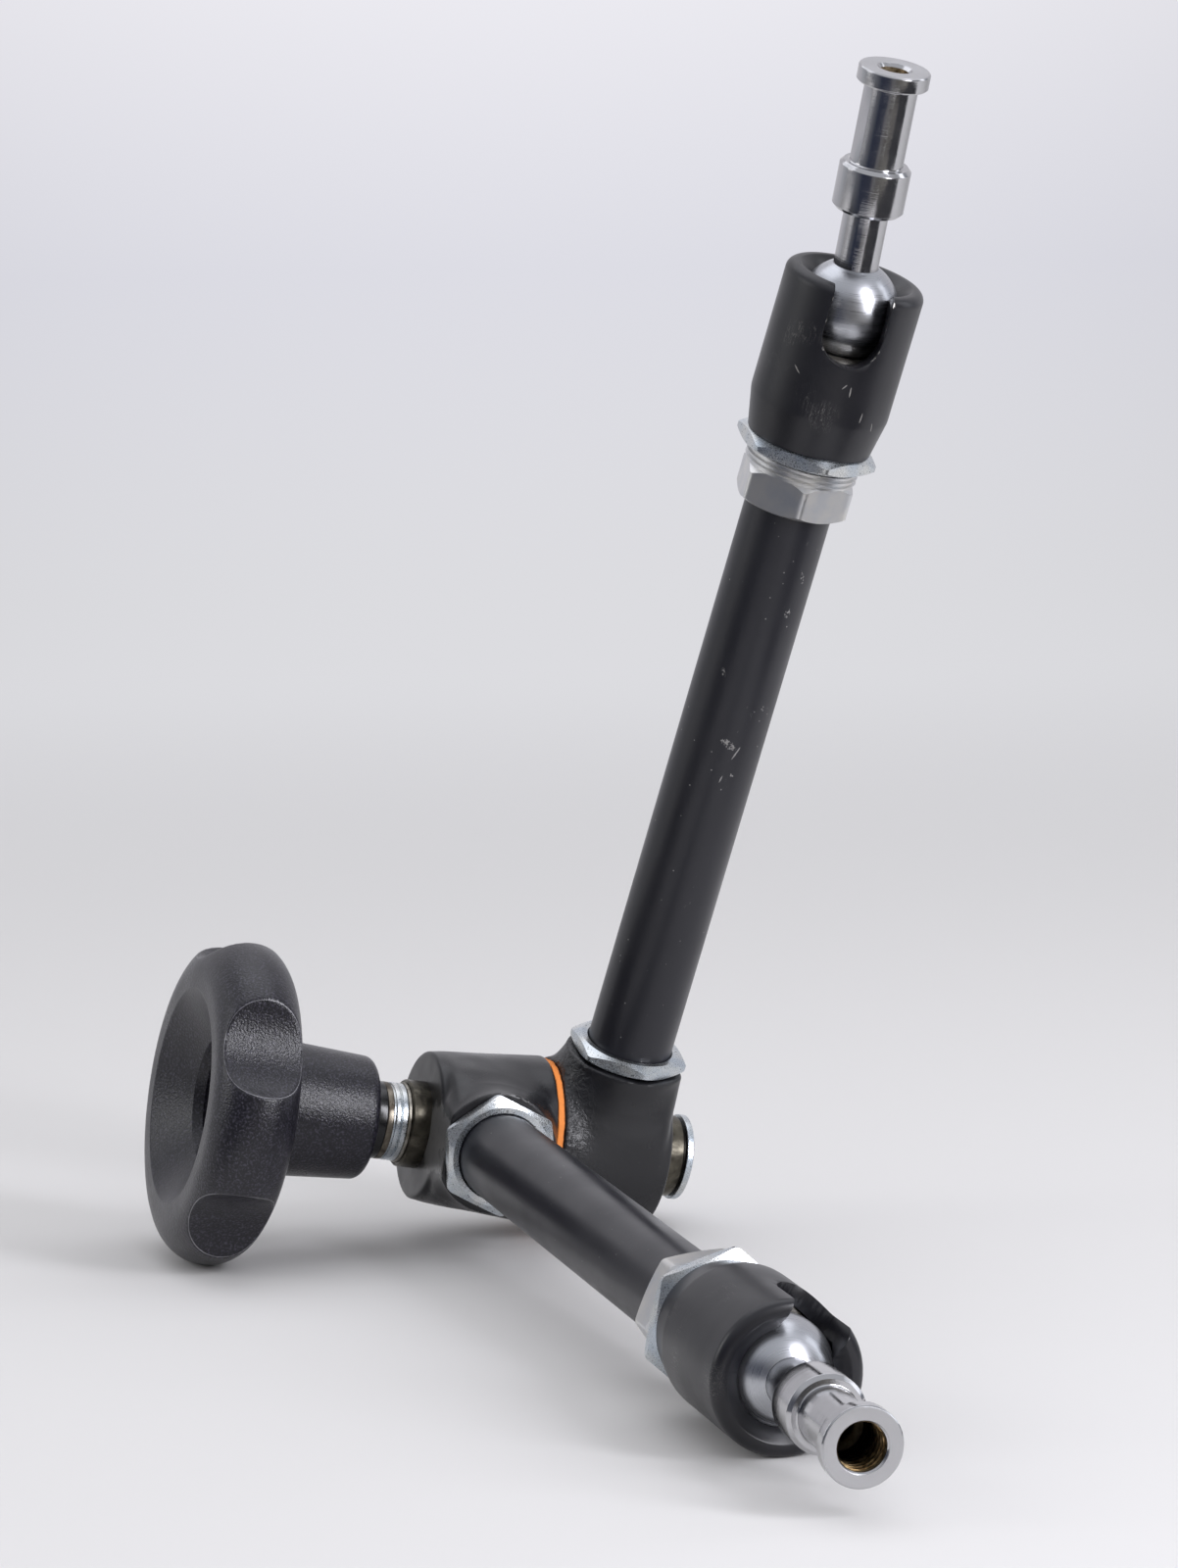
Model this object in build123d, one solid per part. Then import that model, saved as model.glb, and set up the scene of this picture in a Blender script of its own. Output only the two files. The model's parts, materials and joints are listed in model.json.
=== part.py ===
from build123d import *
import math
import os

# All sizes are millimetres and all angles degrees. The elbow axis runs from
# the knob, on the left, to the round bolt head, on the right. Each arm has
# its own frame: x runs outward along the elbow axis from the middle of the
# friction disc, z runs along the arm's tube.

# How the arm stands: knob rim, right housing and front socket on the floor.
axis_turn_angle = 18.06
axis_tilt_angle = 11.3
upper_arm_angle = 18.64
lower_arm_angle = 92.652
elbow_height = 22.55

# Running gaps between pieces that turn or slide in each other.
running_gap = 0.05
thread_gap = 0.05
wedge_gap = 0.1

# How far a cutting shape runs past the piece that it cuts.
cut_past = 1.0

# Friction disc between the two elbow housings.
disc_radius = 19.5
disc_thickness = 1.8

# Elbow housing, the same casting on both arms.
housing_disc_radius = 19.7
housing_end_radius = 17.3
housing_length = 28.0
housing_end_round = 1.6
housing_disc_round = 0.5
body_side_radius = 21.0
body_half_width = 17.8
body_inset = 1.3
body_inset_at_disc = 0.3
body_flare_drop = 14.5
body_flare_round = 9.0
body_edge_round = 3.0
boss_blend_drop = 0.9
boss_blend_step = 0.2
boss_blend_round = 5.0
boss_top_radius = 14.2
boss_top_height = 24.5
boss_foot_radius = 12.4
boss_foot_height = 8.0
boss_neck_drop = 8.0
boss_neck_round = 6.0
tube_offset = 16.5

# Tie bolt through the elbow, with its round zinc head on the right.
bolt_radius = 4.0
bolt_head_radius = 10.1
bolt_head_thickness = 1.9
bolt_head_chamfer = 0.5
bolt_head_crown = 1.0
bolt_head_round = 0.25
bolt_end_chamfer = 0.6
bolt_end = 62.0
bolt_centre_mark_radius = 1.2
bolt_centre_mark_depth = 0.7
end_washer_thickness = 0.55
end_washer_radius = 9.3

# Wedging plungers inside the housings.
left_plunger_radius = 10.2
right_plunger_radius = 9.6
left_plunger_end = 33.25
right_plunger_end = 34.6
plunger_nose = 11.5
plunger_nose_room = 0.6
plunger_chamfer = 0.3
wedge_radius_at_rod = 7.6
wedge_slope = 0.5

# Stack of rings between the left plunger and the knob.
thin_ring_thickness = 0.85
thin_ring_radius = 9.35
thin_ring_round = 0.2
grooved_ring_thickness = 3.3
grooved_ring_radius = 9.1
grooved_ring_groove = 0.45
grooved_ring_groove_half = 0.35
grooved_ring_step = 0.4
grooved_ring_round = 0.3
worn_washer_thickness = 1.65
worn_washer_radius = 9.05
worn_washer_round = 0.35
black_spacer_thickness = 2.45
black_spacer_radius = 9.1
black_spacer_round = 0.2
knob_shim_thickness = 0.5
knob_shim_radius = 9.0
knob_shim_round = 0.1

# Hand knob.
knob_radius = 38.0
knob_rim_round = 10.0
knob_hub_end_radius = 14.3
knob_hub_root_radius = 16.0
knob_hub_round = 2.4
knob_hub_fillet = 3.0
knob_hub_length = 24.5
knob_front_length = 44.6
knob_dish_radius = 24.9
knob_dish_lip = 1.0
knob_well_radius = 14.3
knob_well_start = 37.5
knob_well_depth = 15.0
knob_well_round = 0.4
knob_well_taper = 0.3
knob_bore_room = 0.6
scallop_count = 5
scallop_radius = 19.0
scallop_depth = 6.0
first_scallop_angle = 61.5
insert_radius = 6.6
insert_inset = 1.2

# Tube of each arm.
tube_radius = 10.0
tube_wall = 2.0
tube_start = 17.5
tube_end = 180.0
tube_end_chamfer = 0.4
tube_seat_room = 0.5

# Thin hexagon nut that jams the tube in the elbow housing.
elbow_nut_flats = 25.0
elbow_nut_thickness = 3.55
elbow_nut_chamfer_angle = 30.0
nut_face_inset = 0.15
upper_elbow_nut_angle = 33.0
lower_elbow_nut_angle = 41.3

# Push rod inside each tube.
rod_radius = 4.95
rod_guide_length = 6.5

# Aluminium end fitting with its hexagon and male thread.
fitting_overlap = 14.0
fitting_hex_flats = 24.0
fitting_hex_height = 6.9
fitting_cone_height = 1.2
fitting_foot_chamfer = 1.1
fitting_foot_step = 0.1
fitting_nose_chamfer = 1.0
thread_start_room = 0.2
fitting_length = 25.0
fitting_thread_radius = 12.95
thread_depth = 0.55
thread_pitch = 1.25
upper_fitting_angle = 19.9
lower_fitting_angle = 16.0

# Zinc lock nut under the socket.
lock_nut_above_fitting = 12.1
lock_nut_flats = 28.9
lock_nut_thickness = 3.5
lock_nut_chamfer_angle = 32.68
upper_lock_nut_angle = 28.6
lower_lock_nut_angle = 28.6

# Black ball socket with its U slot.
socket_radius = 15.8
socket_foot_radius = 14.1
socket_taper_height = 8.9
socket_length = 39.2
socket_rim_round = 2.2
socket_thread_length = 10.4
socket_bore_radius = 12.0
socket_bore_top = 33.3
socket_lip_radius = 9.95
socket_lip_height = 37.1
socket_mouth_radius = 12.9
socket_mouth_round = 0.8
socket_foot_round = 0.3
socket_taper_round = 6.0
slot_width = 13.5
slot_bottom = 22.1
slot_root = 4.0
upper_slot_angle = -99.4
lower_slot_angle = -109.5

# Ball, its seat, and the chromed spigot.
ball_above_socket = 31.2
ball_radius = 11.5
seat_above_fitting = 2.5
seat_top_below_centre = 5.8
seat_foot_chamfer = 0.6
ball_room = 0.3
spigot_root = 2.3
spigot_root_room = 0.3
spigot_shank_radius = 5.04
spigot_collar_start = 23.2
spigot_collar_end = 34.0
spigot_radius = 8.0
spigot_collar_chamfer = 0.8
spigot_neck_radius = 5.95
spigot_flat_depth = 0.4
spigot_flat_end_room = 1.0
spigot_neck_fillet = 0.4
spigot_flange_start = 52.1
spigot_length = 55.75
spigot_flange_chamfer = 0.35
spigot_under_step = 0.5
quarter_inch_hole_radius = 3.2
three_eighths_hole_radius = 4.8
spigot_hole_depth = 15.0
spigot_hole_cone = 1.5
quarter_inch_countersink = 0.8
three_eighths_countersink = 0.4
upper_lean_out_angle = -5.78
upper_lean_side_angle = -1.17
lower_lean_out_angle = 3.12
lower_lean_side_angle = 0.04
upper_flat_angle = 189.0
lower_flat_angle = 90.0


def cosd(angle):
    return math.cos(math.radians(angle))


def sind(angle):
    return math.sin(math.radians(angle))


def tand(angle):
    return math.tan(math.radians(angle))


def outline(corners):
    """Closed outline from (across, up, rounding) corners, rounded by arcs."""
    count = len(corners)
    stops = []
    for i in range(count):
        here = Vector(corners[i][0], corners[i][1])
        before = Vector(corners[i - 1][0], corners[i - 1][1])
        after = Vector(corners[(i + 1) % count][0], corners[(i + 1) % count][1])
        rounding = corners[i][2] if len(corners[i]) > 2 else 0
        if rounding == 0:
            stops.append((here, None, here))
            continue
        back = (before - here).normalized()
        ahead = (after - here).normalized()
        half = math.acos(max(-1, min(1, back.dot(ahead)))) / 2
        reach = rounding / math.tan(half)
        centre = here + (back + ahead).normalized() * (rounding / math.sin(half))
        middle = centre + (here - centre).normalized() * rounding
        stops.append((here + back * reach, middle, here + ahead * reach))
    edges = []
    for i in range(count):
        start, middle, finish = stops[i]
        if middle is not None:
            edges.append(Edge.make_three_point_arc(start, middle, finish))
        following = stops[(i + 1) % count][0]
        if (following - finish).length > 1e-6:
            edges.append(Edge.make_line(finish, following))
    return Face(Wire(edges))


def turned(corners):
    """Solid of revolution about z from (radius, height, rounding) corners."""
    return revolve(Plane.XZ * outline(corners), Axis.Z)


def turned_about_x(corners):
    """Solid of revolution about x from (along, radius, rounding) corners."""
    return revolve(outline(corners), Axis.X)


def drum(radius, start, finish):
    """Plain cylinder along z."""
    return turned([(0, start), (radius, start), (radius, finish), (0, finish)])


def drum_x(radius, start, finish):
    """Plain cylinder along x."""
    return turned_about_x([(start, 0), (start, radius), (finish, radius), (finish, 0)])


def hexagon(flats, start, height, turn):
    """Upright hexagonal bar with one corner at the given angle."""
    shape = RegularPolygon(flats / 2 / cosd(30), 6, rotation=turn)
    return Pos(0, 0, start) * extrude(shape, height)


def chamfered_hexagon(flats, start, height, chamfer_angle, turn, both=True):
    """Hexagon whose corners are turned down by cones, as on a real nut."""
    corner = flats / 2 / cosd(30) + cut_past
    flat = flats / 2 - nut_face_inset
    drop = (corner - flat) * tand(chamfer_angle)
    foot = start + drop if both else start
    foot_radius = flat if both else corner
    cone = turned([
        (0, start), (foot_radius, start), (corner, foot),
        (corner, start + height - drop), (flat, start + height), (0, start + height)])
    return hexagon(flats, start, height, turn) & cone


# The elbow axis and the two arms' directions in the row's frame.
elbow_axis = Vector(
    cosd(axis_tilt_angle) * cosd(axis_turn_angle), cosd(axis_tilt_angle) * sind(axis_turn_angle),
    -sind(axis_tilt_angle))
elbow_centre = Vector(0, 0, elbow_height)
upright = (Vector(0, 0, 1) - elbow_axis * elbow_axis.Z).normalized()
forward = elbow_axis.cross(upright)


def arm_direction(angle):
    """Tube direction at an angle about the elbow axis, from upright."""
    return upright * cosd(angle) + forward * sind(angle)


upper_frame = Plane(elbow_centre, x_dir=elbow_axis, z_dir=arm_direction(upper_arm_angle))
lower_frame = Plane(elbow_centre, x_dir=elbow_axis * -1, z_dir=arm_direction(lower_arm_angle))
knob_frame = Plane(elbow_centre, x_dir=elbow_axis * -1, z_dir=upright)

# Heights along a tube that several pieces share.
fitting_start = tube_end - fitting_overlap
fitting_end = fitting_start + fitting_length
lock_nut_start = fitting_start + lock_nut_above_fitting
socket_start = lock_nut_start + lock_nut_thickness
ball_centre = socket_start + ball_above_socket
seat_top = ball_centre - seat_top_below_centre
seat_start = fitting_end + seat_above_fitting
housing_start = disc_thickness / 2
housing_end = housing_start + housing_length
head_start = right_plunger_end + end_washer_thickness
disc_hole_radius = bolt_radius + running_gap
hub_end = (left_plunger_end + thin_ring_thickness + grooved_ring_thickness
           + worn_washer_thickness + black_spacer_thickness + knob_shim_thickness)


def tube_wise(piece):
    """Moves a piece turned about z out to the arm's tube axis."""
    return Pos(tube_offset, 0, 0) * piece


def make_housing_body():
    """Wide body that blends the barrel into the round boss."""
    flare = turned([
        (0, 0), (body_side_radius, 0),
        (body_side_radius, boss_top_height - body_flare_drop, body_flare_round),
        (boss_top_radius + boss_blend_step, boss_top_height - boss_blend_drop, boss_blend_round),
        (boss_top_radius, boss_top_height), (0, boss_top_height)])
    near = housing_start + body_inset_at_disc - tube_offset
    far = housing_end - body_inset - tube_offset
    block = Box(far - near, 2 * body_half_width, boss_top_height)
    body = flare & Pos((near + far) / 2, 0, boss_top_height / 2) * block
    soft = []
    for edge in body.edges():
        box = edge.bounding_box()
        rise = box.max.Z - box.min.Z
        if rise > 0.01 and box.max.Z < boss_top_height - 0.5 and edge.length > 2:
            soft.append(edge)
    return body.fillet(body_edge_round, soft)


def make_housing(plunger_radius):
    """T-shaped elbow housing: tapered barrel, body, round boss, and bores."""
    barrel = turned_about_x([
        (housing_start, 0), (housing_start, housing_disc_radius, housing_disc_round),
        (housing_end, housing_end_radius, housing_end_round), (housing_end, 0)])
    boss = turned([
        (0, boss_foot_height), (boss_foot_radius, boss_foot_height),
        (boss_top_radius, boss_top_height - boss_neck_drop, boss_neck_round),
        (boss_top_radius, boss_top_height), (0, boss_top_height)])
    body = barrel + tube_wise(make_housing_body()) + tube_wise(boss)
    body -= tube_wise(drum(tube_radius + thread_gap, tube_start - tube_seat_room, boss_top_height + cut_past))
    body -= tube_wise(drum(rod_radius + running_gap, 0, tube_start))
    bore_start = plunger_nose - plunger_nose_room
    body -= drum_x(plunger_radius + running_gap, bore_start, housing_end + cut_past)
    body -= drum_x(bolt_radius + running_gap, housing_start - cut_past, bore_start + cut_past)
    return body


def make_plunger(radius, outer_end):
    """Steel plunger whose inner cone pushes the rod outward."""
    nose_radius = wedge_radius_at_rod - wedge_slope * (tube_offset - plunger_nose)
    cone_end = tube_offset + (radius - wedge_radius_at_rod) / wedge_slope
    hole = bolt_radius + running_gap
    return turned_about_x([
        (plunger_nose, hole), (plunger_nose, nose_radius), (cone_end, radius),
        (outer_end - plunger_chamfer, radius), (outer_end, radius - plunger_chamfer),
        (outer_end, hole)])


def make_ring(start, thickness, radius, rounding):
    """Flat ring on the tie bolt."""
    hole = bolt_radius + running_gap
    return turned_about_x([
        (start, hole), (start, radius, rounding),
        (start + thickness, radius, rounding), (start + thickness, hole)])


def make_grooved_ring(start):
    """Zinc ring with a dark step at its outer side and a groove round it."""
    hole = bolt_radius + running_gap
    low = grooved_ring_radius - grooved_ring_groove
    middle = start + grooved_ring_thickness * 0.45
    finish = start + grooved_ring_thickness
    step = finish - grooved_ring_step
    return turned_about_x([
        (start, hole), (start, grooved_ring_radius, grooved_ring_round),
        (middle - grooved_ring_groove_half, grooved_ring_radius), (middle, low),
        (middle + grooved_ring_groove_half, grooved_ring_radius),
        (step, grooved_ring_radius, grooved_ring_round), (step, low), (finish, low), (finish, hole)])


def make_tie_bolt():
    """Bolt along the elbow axis, in the upper arm's frame, head outward."""
    finish = head_start + bolt_head_thickness
    return turned_about_x([
        (-bolt_end, 0), (-bolt_end, bolt_radius - bolt_end_chamfer),
        (-bolt_end + bolt_end_chamfer, bolt_radius),
        (head_start, bolt_radius), (head_start, bolt_head_radius, bolt_head_round),
        (finish - bolt_head_chamfer, bolt_head_radius), (finish, bolt_head_radius - bolt_head_crown),
        (finish, bolt_centre_mark_radius), (finish - bolt_centre_mark_depth, 0)])


def make_knob():
    """Round hand knob: hub, thick rim with hand scallops, dish and well."""
    back = hub_end + knob_hub_length
    front = hub_end + knob_front_length
    well = hub_end + knob_well_start
    floor = well - knob_well_depth
    profile = turned_about_x([
        (hub_end, 0), (hub_end, knob_hub_end_radius, knob_hub_round),
        (back, knob_hub_root_radius, knob_hub_fillet), (back, knob_radius, knob_rim_round),
        (front, knob_radius, knob_rim_round), (front, knob_dish_radius, knob_dish_lip),
        (well, knob_well_radius, knob_well_round), (floor, knob_well_radius - knob_well_taper), (floor, 0)])
    cutter_reach = knob_radius - scallop_depth + scallop_radius
    for i in range(scallop_count):
        angle = -(first_scallop_angle + 360 / scallop_count * i)
        cutter = drum_x(scallop_radius, back - cut_past, front + cut_past)
        profile -= Rot(angle, 0, 0) * Pos(0, 0, cutter_reach) * cutter
    profile -= drum_x(insert_radius + thread_gap, hub_end + insert_inset, front)
    profile -= drum_x(bolt_radius + knob_bore_room, hub_end - cut_past, front)
    return profile


def make_insert():
    """Threaded steel sleeve moulded into the knob's hub."""
    start = hub_end + insert_inset
    finish = hub_end + knob_well_start - knob_well_depth
    return turned_about_x([
        (start, bolt_radius + running_gap), (start, insert_radius),
        (finish, insert_radius), (finish, bolt_radius + running_gap)])


def make_tube():
    """Black arm tube."""
    inner = tube_radius - tube_wall
    return tube_wise(turned([
        (inner, tube_start), (tube_radius - tube_end_chamfer, tube_start),
        (tube_radius, tube_start + tube_end_chamfer), (tube_radius, tube_end), (inner, tube_end)]))


def make_elbow_nut(turn):
    """Thin zinc jam nut on the boss."""
    body = chamfered_hexagon(
        elbow_nut_flats, boss_top_height, elbow_nut_thickness, elbow_nut_chamfer_angle, turn)
    top = boss_top_height + elbow_nut_thickness
    body -= drum(tube_radius + thread_gap, boss_top_height - cut_past, top + cut_past)
    return tube_wise(body)


def make_rod():
    """Push rod with a round foot that rides on the plunger's cone."""
    wedge_angle = math.atan(wedge_slope)
    foot = wedge_radius_at_rod + (rod_radius + wedge_gap) / math.cos(wedge_angle)
    ball = Pos(0, 0, foot) * Sphere(rod_radius)
    return tube_wise(drum(rod_radius, foot, seat_start - running_gap) + ball)


def thread_rings(radius, start, finish):
    """Crest-and-root corners of a thread seen from the side."""
    corners = []
    height = start
    while height + thread_pitch <= finish:
        corners.append((radius, height))
        corners.append((radius, height + thread_pitch * 0.3))
        corners.append((radius - thread_depth, height + thread_pitch * 0.65))
        height += thread_pitch
    corners.append((radius, height))
    corners.append((radius, finish))
    return corners


def make_fitting(turn):
    """Aluminium end fitting: hexagon, cone, male thread, rod guide."""
    hex_top = fitting_start + fitting_hex_height
    cone_top = hex_top + fitting_cone_height
    root = fitting_thread_radius - thread_depth
    corner = fitting_hex_flats / 2 / cosd(30)
    head = hexagon(fitting_hex_flats, fitting_start, fitting_hex_height + fitting_cone_height, turn)
    head &= turned([
        (0, fitting_start), (fitting_hex_flats / 2 - fitting_foot_step, fitting_start),
        (corner, fitting_start + fitting_foot_chamfer), (corner, hex_top),
        (root, cone_top), (0, cone_top)])
    corners = [(0, cone_top - cut_past), (root, cone_top - cut_past), (root, cone_top)]
    corners += thread_rings(fitting_thread_radius, cone_top + thread_start_room, lock_nut_start + cut_past)
    corners += [
        (fitting_thread_radius, fitting_end - fitting_nose_chamfer),
        (fitting_thread_radius - fitting_nose_chamfer, fitting_end)]
    corners += [(0, fitting_end)]
    body = head + turned(corners)
    body -= drum(tube_radius + thread_gap, fitting_start - cut_past, tube_end)
    body -= drum(rod_radius + running_gap, fitting_start, fitting_end + cut_past)
    return tube_wise(body)


def make_lock_nut(turn):
    """Zinc lock nut that jams the socket on the fitting's thread."""
    body = chamfered_hexagon(
        lock_nut_flats, lock_nut_start, lock_nut_thickness, lock_nut_chamfer_angle, turn)
    body -= drum(fitting_thread_radius + thread_gap, lock_nut_start - cut_past, socket_start + cut_past)
    return tube_wise(body)


def make_socket(slot_angle):
    """Black ball socket: tapered foot, round rim, ball bore, lip and U slot."""
    base = socket_start
    rim = base + socket_length
    body = turned([
        (fitting_thread_radius + thread_gap, base), (socket_foot_radius, base, socket_foot_round),
        (socket_radius, base + socket_taper_height, socket_taper_round),
        (socket_radius, rim, socket_rim_round), (socket_mouth_radius, rim, socket_mouth_round),
        (socket_lip_radius, base + socket_lip_height),
        (socket_bore_radius, base + socket_bore_top),
        (socket_bore_radius, base + socket_thread_length),
        (fitting_thread_radius + thread_gap, base + socket_thread_length)])
    centre = base + slot_bottom + slot_width / 2
    out = socket_radius + cut_past
    top = rim + cut_past
    slot = Pos(0, 0, centre) * Rot(0, 90, 0) * drum(slot_width / 2, slot_root, out)
    slot += Pos((slot_root + out) / 2, 0, (centre + top) / 2) * Box(out - slot_root, slot_width, top - centre)
    return tube_wise(body - Rot(0, 0, slot_angle) * slot)


def make_seat():
    """Cup under the ball, pushed up by the rod."""
    outer = socket_bore_radius - running_gap
    cup = turned([
        (0, seat_start), (outer, seat_start, seat_foot_chamfer), (outer, seat_top), (0, seat_top)])
    return tube_wise(cup - Pos(0, 0, ball_centre) * Sphere(ball_radius + ball_room))


def stud_frame(arm, lean_out, lean_side):
    """Frame of a spigot: origin at the ball's centre, z along the stud."""
    along = (arm.z_dir + arm.x_dir * tand(lean_out) + arm.y_dir * tand(lean_side)).normalized()
    origin = arm.origin + arm.x_dir * tube_offset + arm.z_dir * ball_centre
    return Plane(origin, x_dir=along.cross(arm.y_dir) * -1, z_dir=along)


def make_ball():
    """Satin steel ball, drilled for the spigot's root."""
    body = Sphere(ball_radius)
    foot = spigot_root - spigot_root_room
    return body - drum(spigot_shank_radius + running_gap, foot, ball_radius + cut_past)


def make_spigot(hole_radius, countersink, flat_angle):
    """Chromed stud: shank, collar, flatted neck and flange with a thread."""
    top = spigot_length
    mouth = hole_radius + countersink
    body = turned([
        (0, spigot_root), (spigot_shank_radius, spigot_root),
        (spigot_shank_radius, spigot_collar_start),
        (spigot_radius - spigot_collar_chamfer, spigot_collar_start),
        (spigot_radius, spigot_collar_start + spigot_collar_chamfer),
        (spigot_radius, spigot_collar_end - spigot_collar_chamfer),
        (spigot_radius - spigot_collar_chamfer, spigot_collar_end),
        (spigot_neck_radius, spigot_collar_end, spigot_neck_fillet),
        (spigot_neck_radius, spigot_flange_start - spigot_under_step),
        (spigot_neck_radius + spigot_under_step, spigot_flange_start),
        (spigot_radius - spigot_flange_chamfer, spigot_flange_start),
        (spigot_radius, spigot_flange_start + spigot_flange_chamfer),
        (spigot_radius, top - spigot_flange_chamfer),
        (spigot_radius - spigot_flange_chamfer, top),
        (mouth, top), (hole_radius, top - countersink),
        (hole_radius, top - spigot_hole_depth),
        (0, top - spigot_hole_depth - spigot_hole_cone)])
    middle = (spigot_flange_start + spigot_collar_end) / 2
    flat_length = spigot_flange_start - spigot_collar_end - 2 * spigot_flat_end_room
    flat = Pos(spigot_neck_radius - spigot_flat_depth + spigot_radius / 2, 0, 0) * Box(
        spigot_radius, 2 * spigot_radius, flat_length)
    return body - Pos(0, 0, middle) * Rot(0, 0, flat_angle) * flat


def place(plane, shape):
    """Moves a shape from its own frame to the row's frame."""
    return plane.location * shape


def build_pieces():
    """Every piece of the arm, placed, by name."""
    upper_stud = stud_frame(upper_frame, upper_lean_out_angle, upper_lean_side_angle)
    lower_stud = stud_frame(lower_frame, lower_lean_out_angle, lower_lean_side_angle)
    pieces = {}
    ring_at = left_plunger_end
    pieces["left_plunger"] = place(knob_frame, make_plunger(left_plunger_radius, left_plunger_end))
    pieces["thin_ring"] = place(knob_frame, make_ring(
        ring_at, thin_ring_thickness, thin_ring_radius, thin_ring_round))
    ring_at += thin_ring_thickness
    pieces["grooved_ring"] = place(knob_frame, make_grooved_ring(ring_at))
    ring_at += grooved_ring_thickness
    pieces["worn_washer"] = place(
        knob_frame, make_ring(ring_at, worn_washer_thickness, worn_washer_radius, worn_washer_round))
    ring_at += worn_washer_thickness
    pieces["black_spacer"] = place(
        knob_frame, make_ring(ring_at, black_spacer_thickness, black_spacer_radius, black_spacer_round))
    ring_at += black_spacer_thickness
    pieces["knob_shim"] = place(knob_frame, make_ring(
        ring_at, knob_shim_thickness, knob_shim_radius, knob_shim_round))
    pieces["knob"] = place(knob_frame, make_knob())
    pieces["knob_insert"] = place(knob_frame, make_insert())
    pieces["tie_bolt"] = place(upper_frame, make_tie_bolt())
    pieces["end_washer"] = place(
        upper_frame, make_ring(right_plunger_end, end_washer_thickness, end_washer_radius, 0))
    pieces["right_plunger"] = place(upper_frame, make_plunger(right_plunger_radius, right_plunger_end))
    pieces["friction_disc"] = place(upper_frame, turned_about_x([
        (-disc_thickness / 2, disc_hole_radius), (-disc_thickness / 2, disc_radius),
        (disc_thickness / 2, disc_radius), (disc_thickness / 2, disc_hole_radius)]))
    arms = (
        ("lower", lower_frame, lower_stud, left_plunger_radius, lower_elbow_nut_angle,
         lower_fitting_angle, lower_lock_nut_angle, lower_slot_angle,
         three_eighths_hole_radius, three_eighths_countersink, lower_flat_angle),
        ("upper", upper_frame, upper_stud, right_plunger_radius, upper_elbow_nut_angle,
         upper_fitting_angle, upper_lock_nut_angle, upper_slot_angle,
         quarter_inch_hole_radius, quarter_inch_countersink, upper_flat_angle))
    for arm in arms:
        side, frame, stud, plunger, nut_turn, fitting_turn, lock_turn, slot, hole, sink, flat = arm
        pieces[side + "_housing"] = place(frame, make_housing(plunger))
        pieces[side + "_elbow_nut"] = place(frame, make_elbow_nut(nut_turn))
        pieces[side + "_tube"] = place(frame, make_tube())
        pieces[side + "_push_rod"] = place(frame, make_rod())
        pieces[side + "_fitting"] = place(frame, make_fitting(fitting_turn))
        pieces[side + "_lock_nut"] = place(frame, make_lock_nut(lock_turn))
        pieces[side + "_socket"] = place(frame, make_socket(slot))
        pieces[side + "_seat"] = place(frame, make_seat())
        pieces[side + "_ball"] = place(stud, make_ball())
        pieces[side + "_spigot"] = place(stud, make_spigot(hole, sink, flat))
    return pieces


def main():
    os.makedirs("parts", exist_ok=True)
    pieces = build_pieces()
    boxes = [shape.bounding_box() for shape in pieces.values()]
    low = [min(tuple(box.min)[i] for box in boxes) for i in range(3)]
    high = [max(tuple(box.max)[i] for box in boxes) for i in range(3)]
    shift = Pos(-(low[0] + high[0]) / 2, -(low[1] + high[1]) / 2, -low[2])
    print("row origin is the elbow centre moved by", shift.position)
    for name, shape in pieces.items():
        moved = shift * shape
        moved.label = name
        export_step(moved, "parts/" + name + ".step")


main()
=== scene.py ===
import json
import math

import bpy
import bmesh
import numpy as np
from mathutils import Matrix, Vector


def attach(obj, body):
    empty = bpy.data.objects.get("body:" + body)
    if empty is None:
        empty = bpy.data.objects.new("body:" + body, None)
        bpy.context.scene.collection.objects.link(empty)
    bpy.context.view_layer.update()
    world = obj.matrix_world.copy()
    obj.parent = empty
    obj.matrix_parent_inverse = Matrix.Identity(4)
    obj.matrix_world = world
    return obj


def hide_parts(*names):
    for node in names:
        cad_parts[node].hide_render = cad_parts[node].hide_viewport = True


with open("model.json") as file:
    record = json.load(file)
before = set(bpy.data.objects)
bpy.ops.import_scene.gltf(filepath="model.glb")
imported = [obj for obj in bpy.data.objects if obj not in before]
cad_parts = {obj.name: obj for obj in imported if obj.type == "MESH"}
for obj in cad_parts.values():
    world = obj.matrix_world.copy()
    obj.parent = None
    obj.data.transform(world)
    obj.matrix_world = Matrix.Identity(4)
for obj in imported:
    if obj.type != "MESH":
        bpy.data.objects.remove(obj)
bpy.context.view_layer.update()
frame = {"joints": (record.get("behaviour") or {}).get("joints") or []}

# Tie bolt: a steel bolt along the elbow's axis, zinc plated, with a thin round
# head at the right that pulls both housings together. Turned, with a small
# centre mark left by the lathe.


def joint_line(name):
    """Point and direction of one of the arm's joints, in metres."""
    joint = next(j for j in frame["joints"] if j["name"] == name)
    return Vector(joint["pos_m"]), Vector(joint["axis"]).normalized()


def stand(origin, along, across):
    """Frame with z along a direction and x near another; pieces are in mm."""
    z = along.normalized()
    x = (across - z * across.dot(z)).normalized()
    y = z.cross(x)
    turn = Matrix((x, y, z)).transposed().to_4x4()
    return Matrix.Translation(origin) @ turn @ Matrix.Scale(0.001, 4)


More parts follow.
